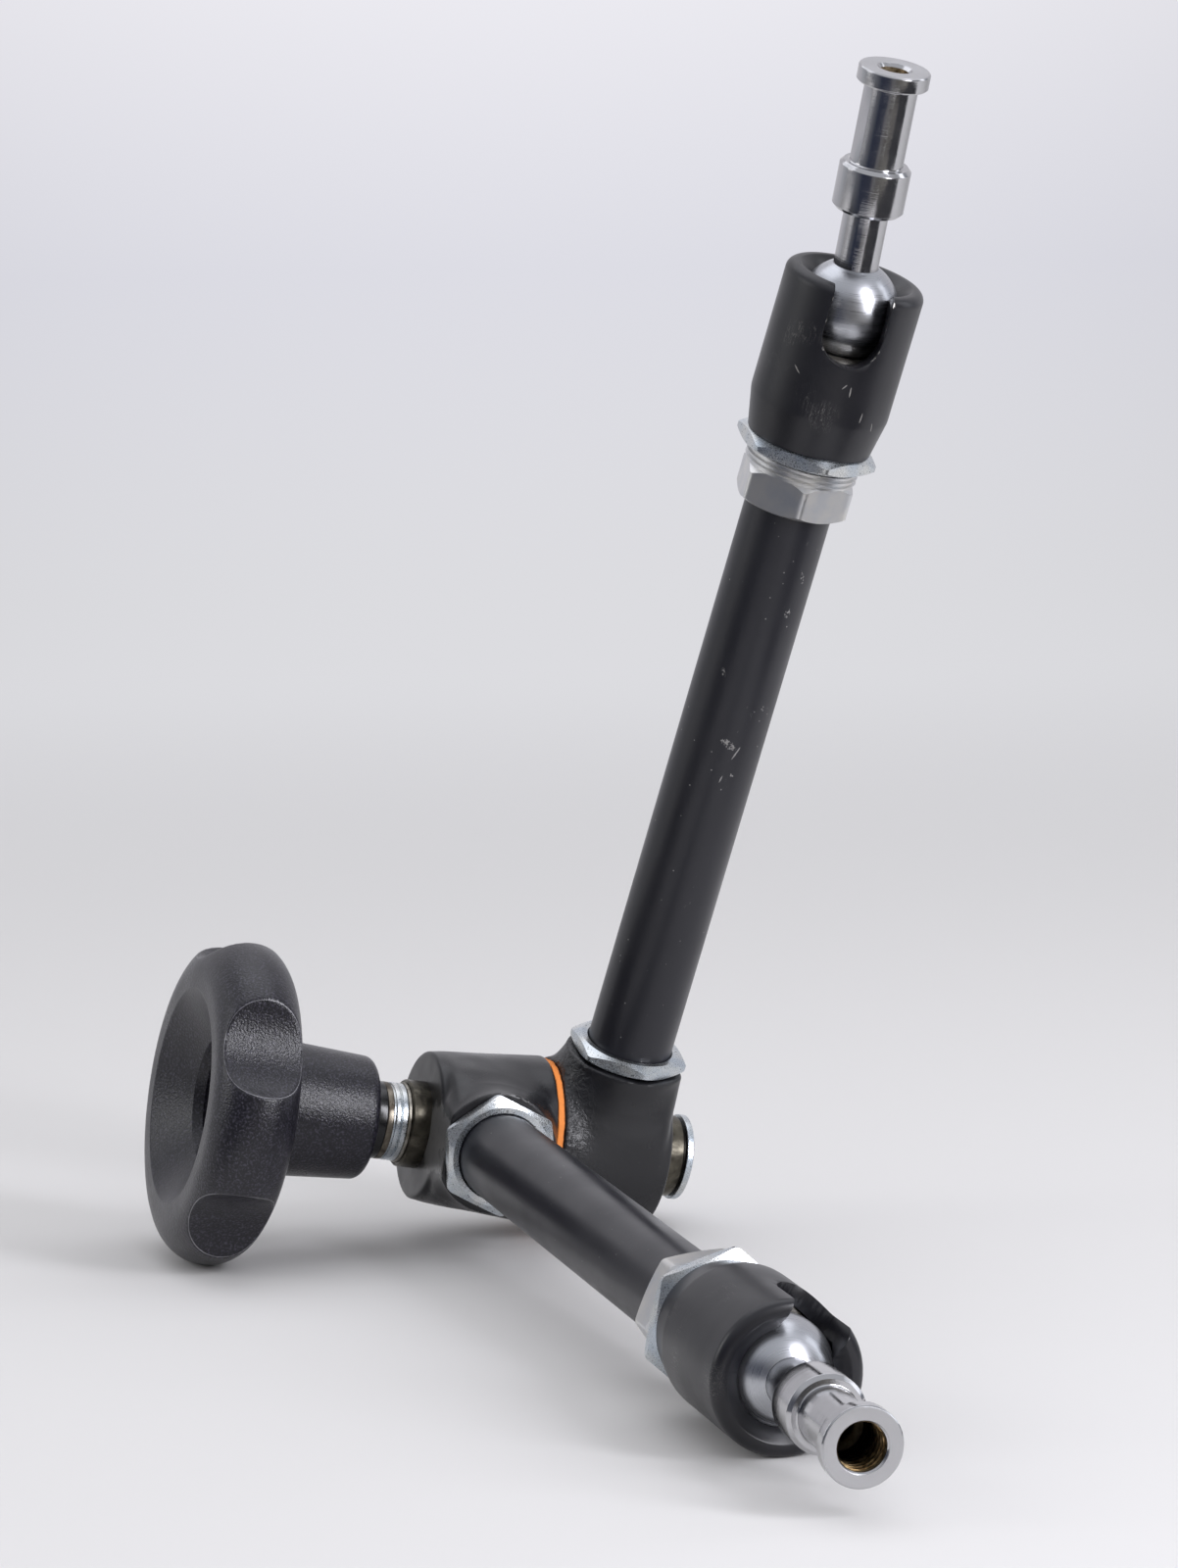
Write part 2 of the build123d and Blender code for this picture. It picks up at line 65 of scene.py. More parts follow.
def outline(corners, step=10.0):
    """Points (height, radius) along corners (height, radius, rounding)."""
    points = []
    count = len(corners)
    for i, corner in enumerate(corners):
        here = Vector(corner[:2])
        rounding = corner[2] if len(corner) > 2 else 0
        if rounding == 0:
            points.append(tuple(here))
            continue
        back = (Vector(corners[i - 1][:2]) - here).normalized()
        ahead = (Vector(corners[(i + 1) % count][:2]) - here).normalized()
        half = math.acos(max(-1, min(1, back.dot(ahead)))) / 2
        centre = here + (back + ahead).normalized() * (rounding / math.sin(half))
        start = here + back * (rounding / math.tan(half)) - centre
        finish = here + ahead * (rounding / math.tan(half)) - centre
        sweep = start.angle_signed(finish)
        parts = max(2, int(abs(math.degrees(sweep)) / step + 0.5))
        for k in range(parts + 1):
            part = Matrix.Rotation(-sweep * k / parts, 2) @ start
            points.append(tuple(centre + part))
    return points


def new_piece(name, place, points, faces, sharp=32):
    """Mesh object at the origin from points in mm, merged, normals outward."""
    bm = bmesh.new()
    corners = [bm.verts.new(place @ Vector(p)) for p in points]
    for face in faces:
        bm.faces.new([corners[k] for k in face])
    bmesh.ops.remove_doubles(bm, verts=bm.verts, dist=2e-6)
    bmesh.ops.dissolve_degenerate(bm, edges=bm.edges, dist=1e-7)
    bmesh.ops.recalc_face_normals(bm, faces=bm.faces)
    mesh = bpy.data.meshes.new(name)
    bm.to_mesh(mesh)
    bm.free()
    piece = bpy.data.objects.new(name.replace(" ", "_"), mesh)
    bpy.context.scene.collection.objects.link(piece)
    mark_turning(piece, place, sharp)
    return piece


def mark_turning(piece, place, sharp):
    """Smooth shading with sharp edges, and each point's turned coordinates."""
    mesh = piece.data
    mesh.polygons.foreach_set("use_smooth", [True] * len(mesh.polygons))
    mesh.set_sharp_from_angle(angle=math.radians(sharp))
    co = np.empty(len(mesh.vertices) * 3)
    mesh.vertices.foreach_get("co", co)
    back = np.array(place.inverted())
    local = co.reshape(-1, 3) @ back[:3, :3].T + back[:3, 3]
    turned_co = np.stack([
        local[:, 2], np.hypot(local[:, 0], local[:, 1]),
        np.arctan2(local[:, 1], local[:, 0])], 1)
    for label, values in (("turned", turned_co), ("local", local)):
        layer = mesh.attributes.new(label, "FLOAT_VECTOR", "POINT")
        layer.data.foreach_set("vector", values.ravel())


def ring_faces(count, size, wrap=True):
    """Faces between neighbouring columns of a ring of points."""
    faces = []
    for i in range(count):
        here, following = i * size, (i + 1) % count * size
        for j in range(size if wrap else size - 1):
            k = (j + 1) % size
            faces.append((here + j, following + j, following + k, here + k))
    return faces


def turned(name, place, rows, count=96, shape=None, sharp=32):
    """Piece turned about the frame's z from (height, radius) rows."""
    points = []
    wrap = rows[0][1] > 1e-6 and rows[-1][1] > 1e-6
    for i in range(count):
        angle = 2 * math.pi * i / count
        for height, radius in rows:
            if shape:
                height, radius = shape(angle, height, radius)
            points.append((radius * math.cos(angle), radius * math.sin(angle), height))
    return new_piece(name, place, points, ring_faces(count, len(rows), wrap), sharp)


def colour(code):
    """Linear colour from an sRGB hex value."""
    out = []
    for i in (0, 2, 4):
        value = int(code[i:i + 2], 16) / 255
        out.append(value / 12.92 if value <= 0.04045 else ((value + 0.055) / 1.055) ** 2.4)
    return (*out, 1.0)


def add(tree, kind, settings=None, links=None):
    """Adds a node, sets its settings and inputs, and links its inputs."""
    own = kind.startswith(("GeometryNode", "NodeGroup"))
    node = tree.nodes.new(kind if own else "ShaderNode" + kind)
    for key, value in (settings or {}).items():
        if isinstance(key, int) or key in node.inputs:
            node.inputs[key].default_value = value
        else:
            setattr(node, key, value)
    for key, source in (links or {}).items():
        tree.links.new(source, node.inputs[key])
    return node


def start_material(name, base, metallic, roughness, **more):
    """Material with its Principled shader's first settings."""
    material = bpy.data.materials.new(name)
    material.use_nodes = True
    tree = material.node_tree
    shader = tree.nodes["Principled BSDF"]
    shader.inputs["Base Color"].default_value = colour(base)
    shader.inputs["Metallic"].default_value = metallic
    shader.inputs["Roughness"].default_value = roughness
    for key, value in more.items():
        shader.inputs[key.replace("_", " ")].default_value = value
    return material, tree, shader


def dress(piece, material, body, node):
    """Gives a piece its material and its body, and hides the CAD part of the node it stands for."""
    piece.data.materials.clear()
    piece.data.materials.append(material)
    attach(piece, body)
    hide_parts(node)
    return piece


elbow_point, elbow_axis = joint_line("elbow")
lower_along = joint_line("lower_pan")[1]
upper_along = joint_line("upper_pan")[1]
from_right = stand(elbow_point, elbow_axis, upper_along)
from_left = stand(elbow_point, elbow_axis * -1, Vector((0, 0, 1)))


def zinc_plate(name="zinc plated steel, bright"):
    """Bluish-white plating: faint spangle, fine dark pits, finely varying roughness."""
    material, tree, shader = start_material(name, "C3C8CC", 1.0, 0.3)
    place = add(tree, "TexCoord").outputs["Object"]
    cloud = add(tree, "TexNoise", {"Scale": 170.0, "Detail": 2.0}, {"Vector": place})
    tint = add(tree, "ValToRGB", None, {"Fac": cloud.outputs["Fac"]})
    for stop, at, code in zip(tint.color_ramp.elements, (0.35, 0.65), ("BAC3CC", "D3D5D4")):
        stop.position, stop.color = at, colour(code)
    grit = add(tree, "TexNoise", {"Scale": 3400.0, "Detail": 3.0, "Roughness": 0.65}, {"Vector": place})
    pits = add(tree, "MapRange", {
        "From Min": 0.3, "From Max": 0.42, "To Min": 0.45, "To Max": 1.0}, {"Value": grit.outputs["Fac"]})
    mixed = add(tree, "VectorMath", {"operation": "SCALE"}, {
        0: tint.outputs["Color"], "Scale": pits.outputs[0]})
    cells = add(tree, "TexVoronoi", {"Scale": 750.0}, {"Vector": place})
    holes = add(tree, "MapRange", {
        "From Min": 0.1, "From Max": 0.16, "To Min": 0.25, "To Max": 1.0}, {"Value": cells.outputs["Distance"]})
    pitted = add(tree, "VectorMath", {"operation": "SCALE"}, {
        0: mixed.outputs[0], "Scale": holes.outputs[0]})
    tree.links.new(pitted.outputs[0], shader.inputs["Base Color"])
    rough = add(tree, "MapRange", {
        "From Min": 0.3, "From Max": 0.7, "To Min": 0.2, "To Max": 0.38}, {"Value": grit.outputs["Fac"]})
    tree.links.new(rough.outputs[0], shader.inputs["Roughness"])
    bump = add(tree, "Bump", {"Strength": 0.35, "Distance": 0.00003}, {"Height": grit.outputs["Fac"]})
    tree.links.new(bump.outputs[0], shader.inputs["Normal"])
    return material


zinc = zinc_plate()
bolt_rows = outline([
    (-62.0, 0), (-62.0, 3.4), (-61.4, 4.0), (35.15, 4.0), (35.15, 10.1, 0.25), (36.7, 10.1, 0.25),
    (37.05, 9.3, 0.3), (37.05, 1.3), (36.45, 0.4), (36.35, 0)])
bolt = turned("tie bolt with round head", from_right, bolt_rows)
dress(bolt, zinc, "bolt", "tie_bolt")

# Right plunger and end washer: hardened steel sleeve that slides in the upper
# housing and wedges its push rod, with a thin dark washer between it and the
# bolt's head. Turned and left oily, so it looks olive and nearly black.


def oily_steel(name, base, grease):
    """Turned steel under old grease: rings from the lathe, brown-green film."""
    material, tree, shader = start_material(name, base, 0.9, 0.32)
    turning = add(tree, "Attribute", {"attribute_name": "turned"}).outputs["Vector"]
    rings = add(tree, "Mapping", {"Scale": (9.0, 9.0, 0.5)}, {"Vector": turning})
    lines = add(tree, "TexNoise", {"Scale": 1.0, "Detail": 2.0}, {"Vector": rings.outputs[0]})
    place = add(tree, "TexCoord").outputs["Object"]
    film = add(tree, "TexNoise", {"Scale": 260.0, "Detail": 5.0, "Distortion": 0.6}, {"Vector": place})
    spread = add(tree, "MapRange", {
        "From Min": 0.4, "From Max": 0.62}, {"Value": film.outputs["Fac"]})
    mix = add(tree, "Mix", {"data_type": "RGBA"}, {0: spread.outputs[0]})
    mix.inputs[6].default_value = colour(base)
    mix.inputs[7].default_value = colour(grease)
    tree.links.new(mix.outputs[2], shader.inputs["Base Color"])
    rough = add(tree, "MapRange", {
        "From Min": 0.3, "From Max": 0.7, "To Min": 0.24, "To Max": 0.5}, {"Value": film.outputs["Fac"]})
    tree.links.new(rough.outputs[0], shader.inputs["Roughness"])
    bump = add(tree, "Bump", {"Strength": 0.3, "Distance": 0.00003}, {"Height": lines.outputs["Fac"]})
    tree.links.new(bump.outputs[0], shader.inputs["Normal"])
    return material


dark_steel = oily_steel("turned steel, oily and dark", "5D594F", "33302A")


def plunger_rows(radius, outer_end):
    """Sleeve with an inner cone that leads the push rod outward."""
    return outline([
        (11.5, 4.05), (11.5, 5.1), (16.5 + (radius - 7.6) / 0.5, radius), (outer_end - 0.3, radius, 0.15),
        (outer_end, radius - 0.3), (outer_end, 4.05)])


right_plunger = turned("right plunger sleeve", from_right, plunger_rows(9.6, 34.6))
dress(right_plunger, dark_steel, "bolt", "right_plunger")
end_washer = turned("dark washer under the bolt head", from_right, outline([
    (34.6, 4.05), (34.6, 9.3), (35.15, 9.3), (35.15, 4.05)]))
black_line = oily_steel("steel washer, black with oil", "191815", "0E0D0B")
dress(end_washer, black_line, "bolt", "end_washer")

# Elbow housings: two like castings, a tapered barrel that swells softly into a
# round boss for the tube. Cast, machined flat at the ends, then coated black;
# the coating is smooth and glossy over the blends.

barrel_end = 28.9
barrel_start = 0.9
tube_offset = 16.5


def soft_max(a, b, size):
    """Larger of two distances with the corner between them rounded."""
    gap = np.maximum(size - np.abs(a - b), 0) / size
    return np.maximum(a, b) + gap * gap * size / 4


def soft_min(a, b, size):
    """Smaller of two distances with the notch between them filled."""
    return -soft_max(-a, -b, size)


def casting_distance(x, y, z):
    """Signed distance, in mm, to the surface of the elbow casting."""
    taper = (19.7 - 17.3) / (barrel_end - barrel_start)
    wide = 19.7 - taper * (x - barrel_start)
    barrel = (np.hypot(y, z) - wide) / math.hypot(1, taper)
    barrel = soft_max(barrel, x - barrel_end, 0.9)
    lift = np.clip(z, 0, 6.5)
    body = np.hypot(y, z - lift) - 17.3
    from_tube = np.hypot(x - tube_offset, y)
    flare = (from_tube - 21.0) * 0.885 + (z - 10.0) * 0.465
    body = soft_max(body, soft_max(flare, from_tube - 21.0, 5.0), 4.0)
    body = soft_max(body, x - 27.6, 3.0)
    body = soft_max(body, barrel_start + 0.4 - x, 1.2)
    foot = 14.2 - np.clip(16.5 - z, 0, 8.5) * 0.21
    boss = soft_max((from_tube - foot) * 0.98, 7.5 - z, 3.0)
    whole = soft_min(soft_min(barrel, body, 1.4), boss, 3.0)
    whole = soft_max(whole, x - barrel_end, 0.9)
    whole = soft_max(whole, barrel_start - x, 0.6)
    return soft_max(whole, z - 24.5, 0.5)


def cast_housing(name, arm_place):
    """Casting's skin, found along rays from a point inside it."""
    size = 84
    centre = np.array([14.0, 0.0, 6.0])
    grid = np.tan(np.linspace(-1, 1, size + 1) * math.pi / 4)
    u, v = np.meshgrid(grid, grid, indexing="ij")
    one = np.ones_like(u)
    points, faces = [], []
    for axis in range(3):
        for sign in (1, -1):
            sides = [u, v]
            sides.insert(axis, one * sign)
            ray = np.stack(sides, -1).reshape(-1, 3)
            ray /= np.linalg.norm(ray, axis=1)[:, None]
            near, far = np.zeros(len(ray)), np.full(len(ray), 60.0)
            for _ in range(34):
                half = (near + far) / 2
                p = centre + ray * half[:, None]
                inside = casting_distance(p[:, 0], p[:, 1], p[:, 2]) < 0
                near, far = np.where(inside, half, near), np.where(inside, far, half)
            p = centre + ray * near[:, None]
            base = len(points)
            points += [tuple(q) for q in p]
            for i in range(size):
                for j in range(size):
                    a = base + i * (size + 1) + j
                    faces.append((a, a + 1, a + size + 2, a + size + 1))
    return new_piece(name, arm_place, points, faces, 50)


def cast_coat(name, gloss, wrinkled):
    """Black coating on a casting: rippled, dusty, rubbed grey on its end."""
    material, tree, shader = start_material(name, "1B1B1E", 0.0, 0.34)
    place = add(tree, "TexCoord").outputs["Object"]
    spot = add(tree, "Attribute", {"attribute_name": "local"}).outputs["Vector"]
    part = add(tree, "SeparateXYZ", None, {0: spot})
    ripple = add(tree, "TexNoise", {"Scale": 130.0, "Detail": 2.0}, {"Vector": place})
    grain = add(tree, "TexNoise", {"Scale": 1500.0, "Detail": 2.0}, {"Vector": place})
    dust = add(tree, "TexVoronoi", {"Scale": 420.0, "Randomness": 1.0}, {"Vector": place})
    speck = add(tree, "MapRange", {
        "From Min": 0.03, "From Max": 0.06, "To Min": 0.8, "To Max": 0.0}, {"Value": dust.outputs["Distance"]})
    few = add(tree, "TexNoise", {"Scale": 90.0, "Detail": 1.0}, {"Vector": place})
    where = add(tree, "MapRange", {
        "From Min": 0.5, "From Max": 0.66}, {"Value": few.outputs["Fac"]})
    both = add(tree, "Math", {"operation": "MULTIPLY"}, {0: speck.outputs[0], 1: where.outputs[0]})
    scuff = add(tree, "TexNoise", {"Scale": 700.0, "Detail": 5.0, "Roughness": 0.7}, {"Vector": place})
    end = add(tree, "Math", {"operation": "MULTIPLY_ADD", 1: 0.5}, {
        0: scuff.outputs["Fac"], 2: part.outputs["X"]})
    rubbed = add(tree, "MapRange", {
        "From Min": 29.0, "From Max": 29.1, "To Max": 0.8}, {"Value": end.outputs[0]})
    pale = add(tree, "Math", {"operation": "MAXIMUM"}, {0: both.outputs[0], 1: rubbed.outputs[0]})
    mix = add(tree, "Mix", {"data_type": "RGBA", 6: colour("18181B"), 7: colour("6C6B6A")}, {0: pale.outputs[0]})
    tree.links.new(mix.outputs[2], shader.inputs["Base Color"])
    rough = add(tree, "MapRange", {
        "From Min": 0.35, "From Max": 0.65, "To Min": gloss, "To Max": gloss + 0.12}, {
            "Value": ripple.outputs["Fac"]})
    tree.links.new(rough.outputs[0], shader.inputs["Roughness"])
    coarse = add(tree, "Bump", {"Strength": 0.5, "Distance": 0.00012}, {"Height": ripple.outputs["Fac"]})
    fine = add(tree, "Bump", {"Strength": 0.4, "Distance": 0.00004}, {
        "Height": grain.outputs["Fac"], "Normal": coarse.outputs[0]})
    crackle = add(tree, "TexNoise", {"Scale": 620.0, "Detail": 3.0, "Distortion": 1.2}, {"Vector": place})
    near = add(tree, "MapRange", {
        "From Min": 3.0, "From Max": 9.0, "To Min": wrinkled, "To Max": 0.0}, {"Value": part.outputs["X"]})
    wrinkle = add(tree, "Bump", {"Distance": 0.00042}, {
        "Height": crackle.outputs["Fac"], "Strength": near.outputs[0], "Normal": fine.outputs[0]})
    tree.links.new(wrinkle.outputs[0], shader.inputs["Normal"])
    return material


lower_place = stand(elbow_point, lower_along, elbow_axis * -1)
upper_place = stand(elbow_point, upper_along, elbow_axis)
for side, place, wrinkled in (("lower", lower_place, 0.15), ("upper", upper_place, 0.9)):
    coat = cast_coat("black coated casting, " + side, 0.26, wrinkled)
    housing = cast_housing(side + " elbow housing", place)
    dress(housing, coat, side + "_arm", side + "_housing")

# Friction lining: thin orange ring of fibre pressed between the housings. Cut from sheet, its rim frayed, and its
# colour darker towards the upper housing's side.
lining, tree, shader = start_material("orange fibre lining, frayed", "D9752B", 0.0, 0.75)
turning = add(tree, "Attribute", {"attribute_name": "turned"}).outputs["Vector"]
split = add(tree, "SeparateXYZ", None, {0: turning})
place_out = add(tree, "TexCoord").outputs["Object"]
fray = add(tree, "TexNoise", {"Scale": 900.0, "Detail": 4.0}, {"Vector": place_out})
edge = add(tree, "Math", {"operation": "MULTIPLY_ADD", 1: 0.9}, {0: fray.outputs["Fac"], 2: split.outputs["X"]})
# The colour darkens towards the upper housing's side, unevenly along the frayed rim.
dark = add(tree, "MapRange", {"From Min": 0.85, "From Max": 1.25}, {"Value": edge.outputs[0]})
mix = add(tree, "Mix", {"data_type": "RGBA", 6: colour("E98A3C"), 7: colour("6B3513")}, {0: dark.outputs[0]})
tree.links.new(mix.outputs[2], shader.inputs["Base Color"])
bump = add(tree, "Bump", {"Strength": 0.7, "Distance": 0.00015}, {"Height": fray.outputs["Fac"]})
tree.links.new(bump.outputs[0], shader.inputs["Normal"])


def frayed(angle, height, radius):
    """Uneven rim of the lining, never beyond its cut size."""
    if radius < 15:
        return height, radius
    wear = 0.12 * math.sin(7 * angle + 1) + 0.09 * math.sin(23 * angle) + 0.07 * math.sin(41 * angle + 2)
    return height * (1 + 0.04 * math.sin(17 * angle)) * 0.95, radius - 0.22 + wear * 0.75


lining_rows = outline([(-0.88, 4.05), (-0.88, 19.45, 0.3), (0.88, 19.45, 0.3), (0.88, 4.05)])
disc = turned("orange friction lining", from_right, lining_rows, 240, frayed)
dress(disc, lining, "upper_arm", "friction_disc")

# Left plunger: the larger steel sleeve that slides in the lower housing, dull
# with grease where it enters the flat, machined face.
left_plunger = turned("left plunger sleeve", from_left, plunger_rows(10.2, 33.25))
dress(left_plunger, dark_steel, "ring_stack", "left_plunger")

# Rings between the plunger and the knob: thin steel ring, grooved zinc ring,
# brown worn washer, black spacer and a bright shim, all loose on the bolt.
ring_starts = [33.25, 34.1, 37.4, 39.05, 41.5, 42.0]
worn_steel = oily_steel("worn steel, brown from old oil", "7D766B", "4A433A")
bright_ring = oily_steel("thin steel ring, smeared", "A9A59C", "6C675C")
black_ring, tree, shader = start_material("black spacer, smooth", "111112", 0.0, 0.28)
place_out = add(tree, "TexCoord").outputs["Object"]
haze = add(tree, "TexNoise", {"Scale": 500.0, "Detail": 3.0}, {"Vector": place_out})
rough = add(tree, "MapRange", {"To Min": 0.12, "To Max": 0.28}, {"Value": haze.outputs["Fac"]})
tree.links.new(rough.outputs[0], shader.inputs["Roughness"])


def ring_rows(index, radius, rounding):
    """Flat ring with broken edges."""
    start, finish = ring_starts[index], ring_starts[index + 1]
    return outline([(start, 4.05), (start, radius, rounding), (finish, radius, rounding), (finish, 4.05)])


grooved = outline([
    (34.1, 4.05), (34.1, 9.1, 0.25), (35.3, 9.1, 0.1), (35.6, 8.65), (35.95, 9.1, 0.1),
    (37.0, 9.1, 0.25), (37.0, 8.65), (37.4, 8.65), (37.4, 4.05)])
stack = (
    ("thin steel ring", "thin_ring", ring_rows(0, 9.35, 0.2), bright_ring, "worn_steel"),
    ("grooved zinc ring", "grooved_ring", grooved, zinc, "zinc_steel"),
    ("worn steel washer", "worn_washer", ring_rows(2, 9.05, 0.35), worn_steel, "worn_steel"),
    ("black spacer ring", "black_spacer", ring_rows(3, 9.1, 0.2), black_ring, "black_spacer"),
    ("shim at the knob", "knob_shim", ring_rows(4, 9.0, 0.1), bright_ring, "worn_steel"))
for name, node, rows, material, slot in stack:
    dress(turned(name, from_left, rows), material, "ring_stack", node)

# Hand knob: black glass-filled nylon, moulded round a threaded steel sleeve.
# Its skin is spark eroded grain, its colour speckled lighter, partly in the grain's own tone and partly as painted
# glints. It has five hand scallops with a thin pale line along their edges, and a parting line round the rim.
knob_start = 42.0
knob_rows = outline([
    (knob_start, 4.6), (knob_start, 14.3, 2.4), (66.5, 16.0, 3.0), (66.5, 38.0, 10.0),
    (86.6, 38.0, 10.0), (86.6, 24.9, 1.0), (79.5, 14.3, 0.3), (77.2, 13.3, 0.3), (64.5, 13.0), (64.5, 6.65),
    (43.2, 6.65), (43.2, 4.6)], 4.0)


def spaced(rows, gap):
    """Rows with more points on long straight stretches."""
    out = []
    for i, here in enumerate(rows):
        following = rows[(i + 1) % len(rows)]
        length = math.dist(here, following)
        parts = max(1, round(length / gap))
        for k in range(parts):
            out.append(tuple(here[n] + (following[n] - here[n]) * k / parts for n in (0, 1)))
    return out


rim_radius, rim_round, rim_middle = 38.0, 10.0, 76.55
scallop_radius, scallop_depth = 19.0, 6.0
first_scallop, half_step = 61.5, 36
scallop_reach = rim_radius - scallop_depth + scallop_radius


def scalloped(angle, height, radius):
    """Rim pressed in by the five hand scallops, with a slightly soft edge."""
    if height < 66.0 or radius < 24.0:
        return height, radius
    turn = (math.degrees(angle) + first_scallop + half_step) % (2 * half_step) - half_step
    side = scallop_reach * math.sin(math.radians(turn))
    if abs(side) >= scallop_radius:
        return height, radius
    cut = scallop_reach * math.cos(math.radians(turn)) - math.sqrt(scallop_radius ** 2 - side ** 2)
    gap = max(0.5 - abs(radius - cut), 0) / 0.5
    return height, min(radius, cut) - gap * gap * 0.5 / 4


knob = turned("hand knob", from_left, spaced(knob_rows, 0.8), 460, scalloped, 40)
mesh = knob.data
local = np.empty(len(mesh.vertices) * 3)
mesh.attributes["local"].data.foreach_get("vector", local)
local = local.reshape(-1, 3)
radius = np.hypot(local[:, 0], local[:, 1])
turn = np.degrees(np.arctan2(local[:, 1], local[:, 0])) + first_scallop + half_step
turn = turn % (2 * half_step) - half_step
side = scallop_reach * np.sin(np.radians(turn))
cut = scallop_reach * np.cos(np.radians(turn)) - np.sqrt(np.maximum(scallop_radius ** 2 - side ** 2, 0))
height = local[:, 2]
rim = rim_radius - rim_round + np.sqrt(np.maximum(rim_round ** 2 - (height - rim_middle) ** 2, 0))
edge = np.where(np.abs(side) < scallop_radius, np.clip(rim - cut, -3, 3), -3.0)
edge = np.where((radius > 29) & (height > 67), edge, -3.0)
layer = mesh.attributes.new("edge", "FLOAT", "POINT")
layer.data.foreach_set("value", edge)

nylon, tree, shader = start_material("black glass-filled nylon, grained, with painted glints", "26262A", 0.0, 0.42)
place_out = add(tree, "TexCoord").outputs["Object"]
# Grain pits are about 0.2 mm; drawn at about 0.5 mm so that they show.
grain = add(tree, "TexNoise", {"Scale": 2000.0, "Detail": 2.0, "Roughness": 0.5}, {"Vector": place_out})
grain_tone_and_painted_glints = add(tree, "MapRange", {"From Min": 0.5, "From Max": 0.72}, {"Value": grain.outputs["Fac"]})
cloud = add(tree, "TexNoise", {"Scale": 90.0, "Detail": 3.0}, {"Vector": place_out})
edge_at = add(tree, "Attribute", {"attribute_name": "edge"}).outputs["Fac"]
near = add(tree, "Math", {"operation": "ABSOLUTE"}, {0: edge_at})
# A thin pale line is drawn into the colour along the scallops' edges.
pale_scallop_edge_line = add(tree, "MapRange", {
    "From Min": 0.06, "From Max": 0.16, "To Min": 1.0, "To Max": 0.0}, {"Value": near.outputs[0]})
broken = add(tree, "TexNoise", {"Scale": 150.0, "Detail": 3.0}, {"Vector": place_out})
keep = add(tree, "MapRange", {
    "From Min": 0.42, "From Max": 0.6, "To Min": 0.2, "To Max": 0.7}, {"Value": broken.outputs["Fac"]})
shown = add(tree, "Math", {"operation": "MULTIPLY"}, {0: pale_scallop_edge_line.outputs[0], 1: keep.outputs[0]})
# The lighter specks in this colour are partly the grain's tone and partly painted glints.
skin = add(tree, "Mix", {"data_type": "RGBA", 6: colour("121118"), 7: colour("3B3944")}, {0: grain_tone_and_painted_glints.outputs[0]})
mix = add(tree, "Mix", {"data_type": "RGBA", 7: colour("A2A1A6")}, {0: shown.outputs[0], 6: skin.outputs[2]})
tree.links.new(mix.outputs[2], shader.inputs["Base Color"])
rough = add(tree, "MapRange", {
    "From Min": 0.3, "From Max": 0.7, "To Min": 0.27, "To Max": 0.36}, {"Value": cloud.outputs["Fac"]})
tree.links.new(rough.outputs[0], shader.inputs["Roughness"])
bump = add(tree, "Bump", {"Strength": 1.0, "Distance": 0.00013}, {"Height": grain.outputs["Fac"]})
along = add(tree, "SeparateXYZ", None, {
    0: add(tree, "Attribute", {"attribute_name": "turned"}).outputs["Vector"]})
parting = add(tree, "Math", {"operation": "COMPARE", 1: 77.6, 2: 0.12}, {0: along.outputs["X"]})
line = add(tree, "Bump", {"Strength": 0.9, "Distance": 0.00015}, {
    "Height": parting.outputs[0], "Normal": bump.outputs[0]})
tree.links.new(line.outputs[0], shader.inputs["Normal"])
dress(knob, nylon, "hand_knob", "knob")

insert = turned("threaded sleeve in the knob", from_left, outline([
    (43.2, 4.05), (43.2, 6.6), (64.5, 6.6), (64.5, 4.05)]))
dress(insert, dark_steel, "hand_knob", "knob_insert")

# Jam nuts: thin hexagonal nuts, zinc plated, that lock each tube in its boss.
# Cold formed, with the corners turned down to a cone on both sides.
on_tube = Matrix.Translation(Vector((tube_offset, 0, 0)))


def hex_nut(name, place, flats, start, height, hole, turn, drop, rim):
    """Hexagonal nut with turned-down corners and a broken edge at its hole."""
    half = flats / 2
    finish = start + height
    rows = [
        ("hole", start + 0.3), ("hole", finish - 0.3), ("bore", finish), ("seat", finish),
        ("side", finish), ("side", (start + finish) / 2), ("side", start), ("seat", start), ("bore", start)]
    points = []
    count = 180
    for i in range(count):
        angle = 2 * math.pi * i / count
        from_flat = (math.degrees(angle) - turn) % 60 - 30
        reach = half / math.cos(math.radians(from_flat))
        reach -= 0.25 * max(0, (abs(from_flat) - 27) / 3) ** 2
        fall = (reach - half + rim) * drop
        for kind, z in rows:
            if kind == "hole":
                r = hole
            elif kind == "bore":
                r = hole + 0.3
            elif kind == "seat":
                r = half - rim
            else:
                r = reach
                if z == finish:
                    z = finish - fall
                elif z == start:
                    z = start + fall
            points.append((r * math.cos(angle), r * math.sin(angle), z))
    return new_piece(name, place, points, ring_faces(count, len(rows)), 22)


for side, place, turn in (("lower", lower_place, 41.3), ("upper", upper_place, 33.0)):
    nut = hex_nut(side + " jam nut", place @ on_tube, 25.0, 24.5, 3.55, 10.05, turn, 0.48, 0.85)
    dress(nut, zinc, side + "_arm", side + "_elbow_nut")

# Arm tubes: drawn tube, coated satin black, with fine dust, light scuffs and a
# few scratches on the upper one from being clamped and carried.


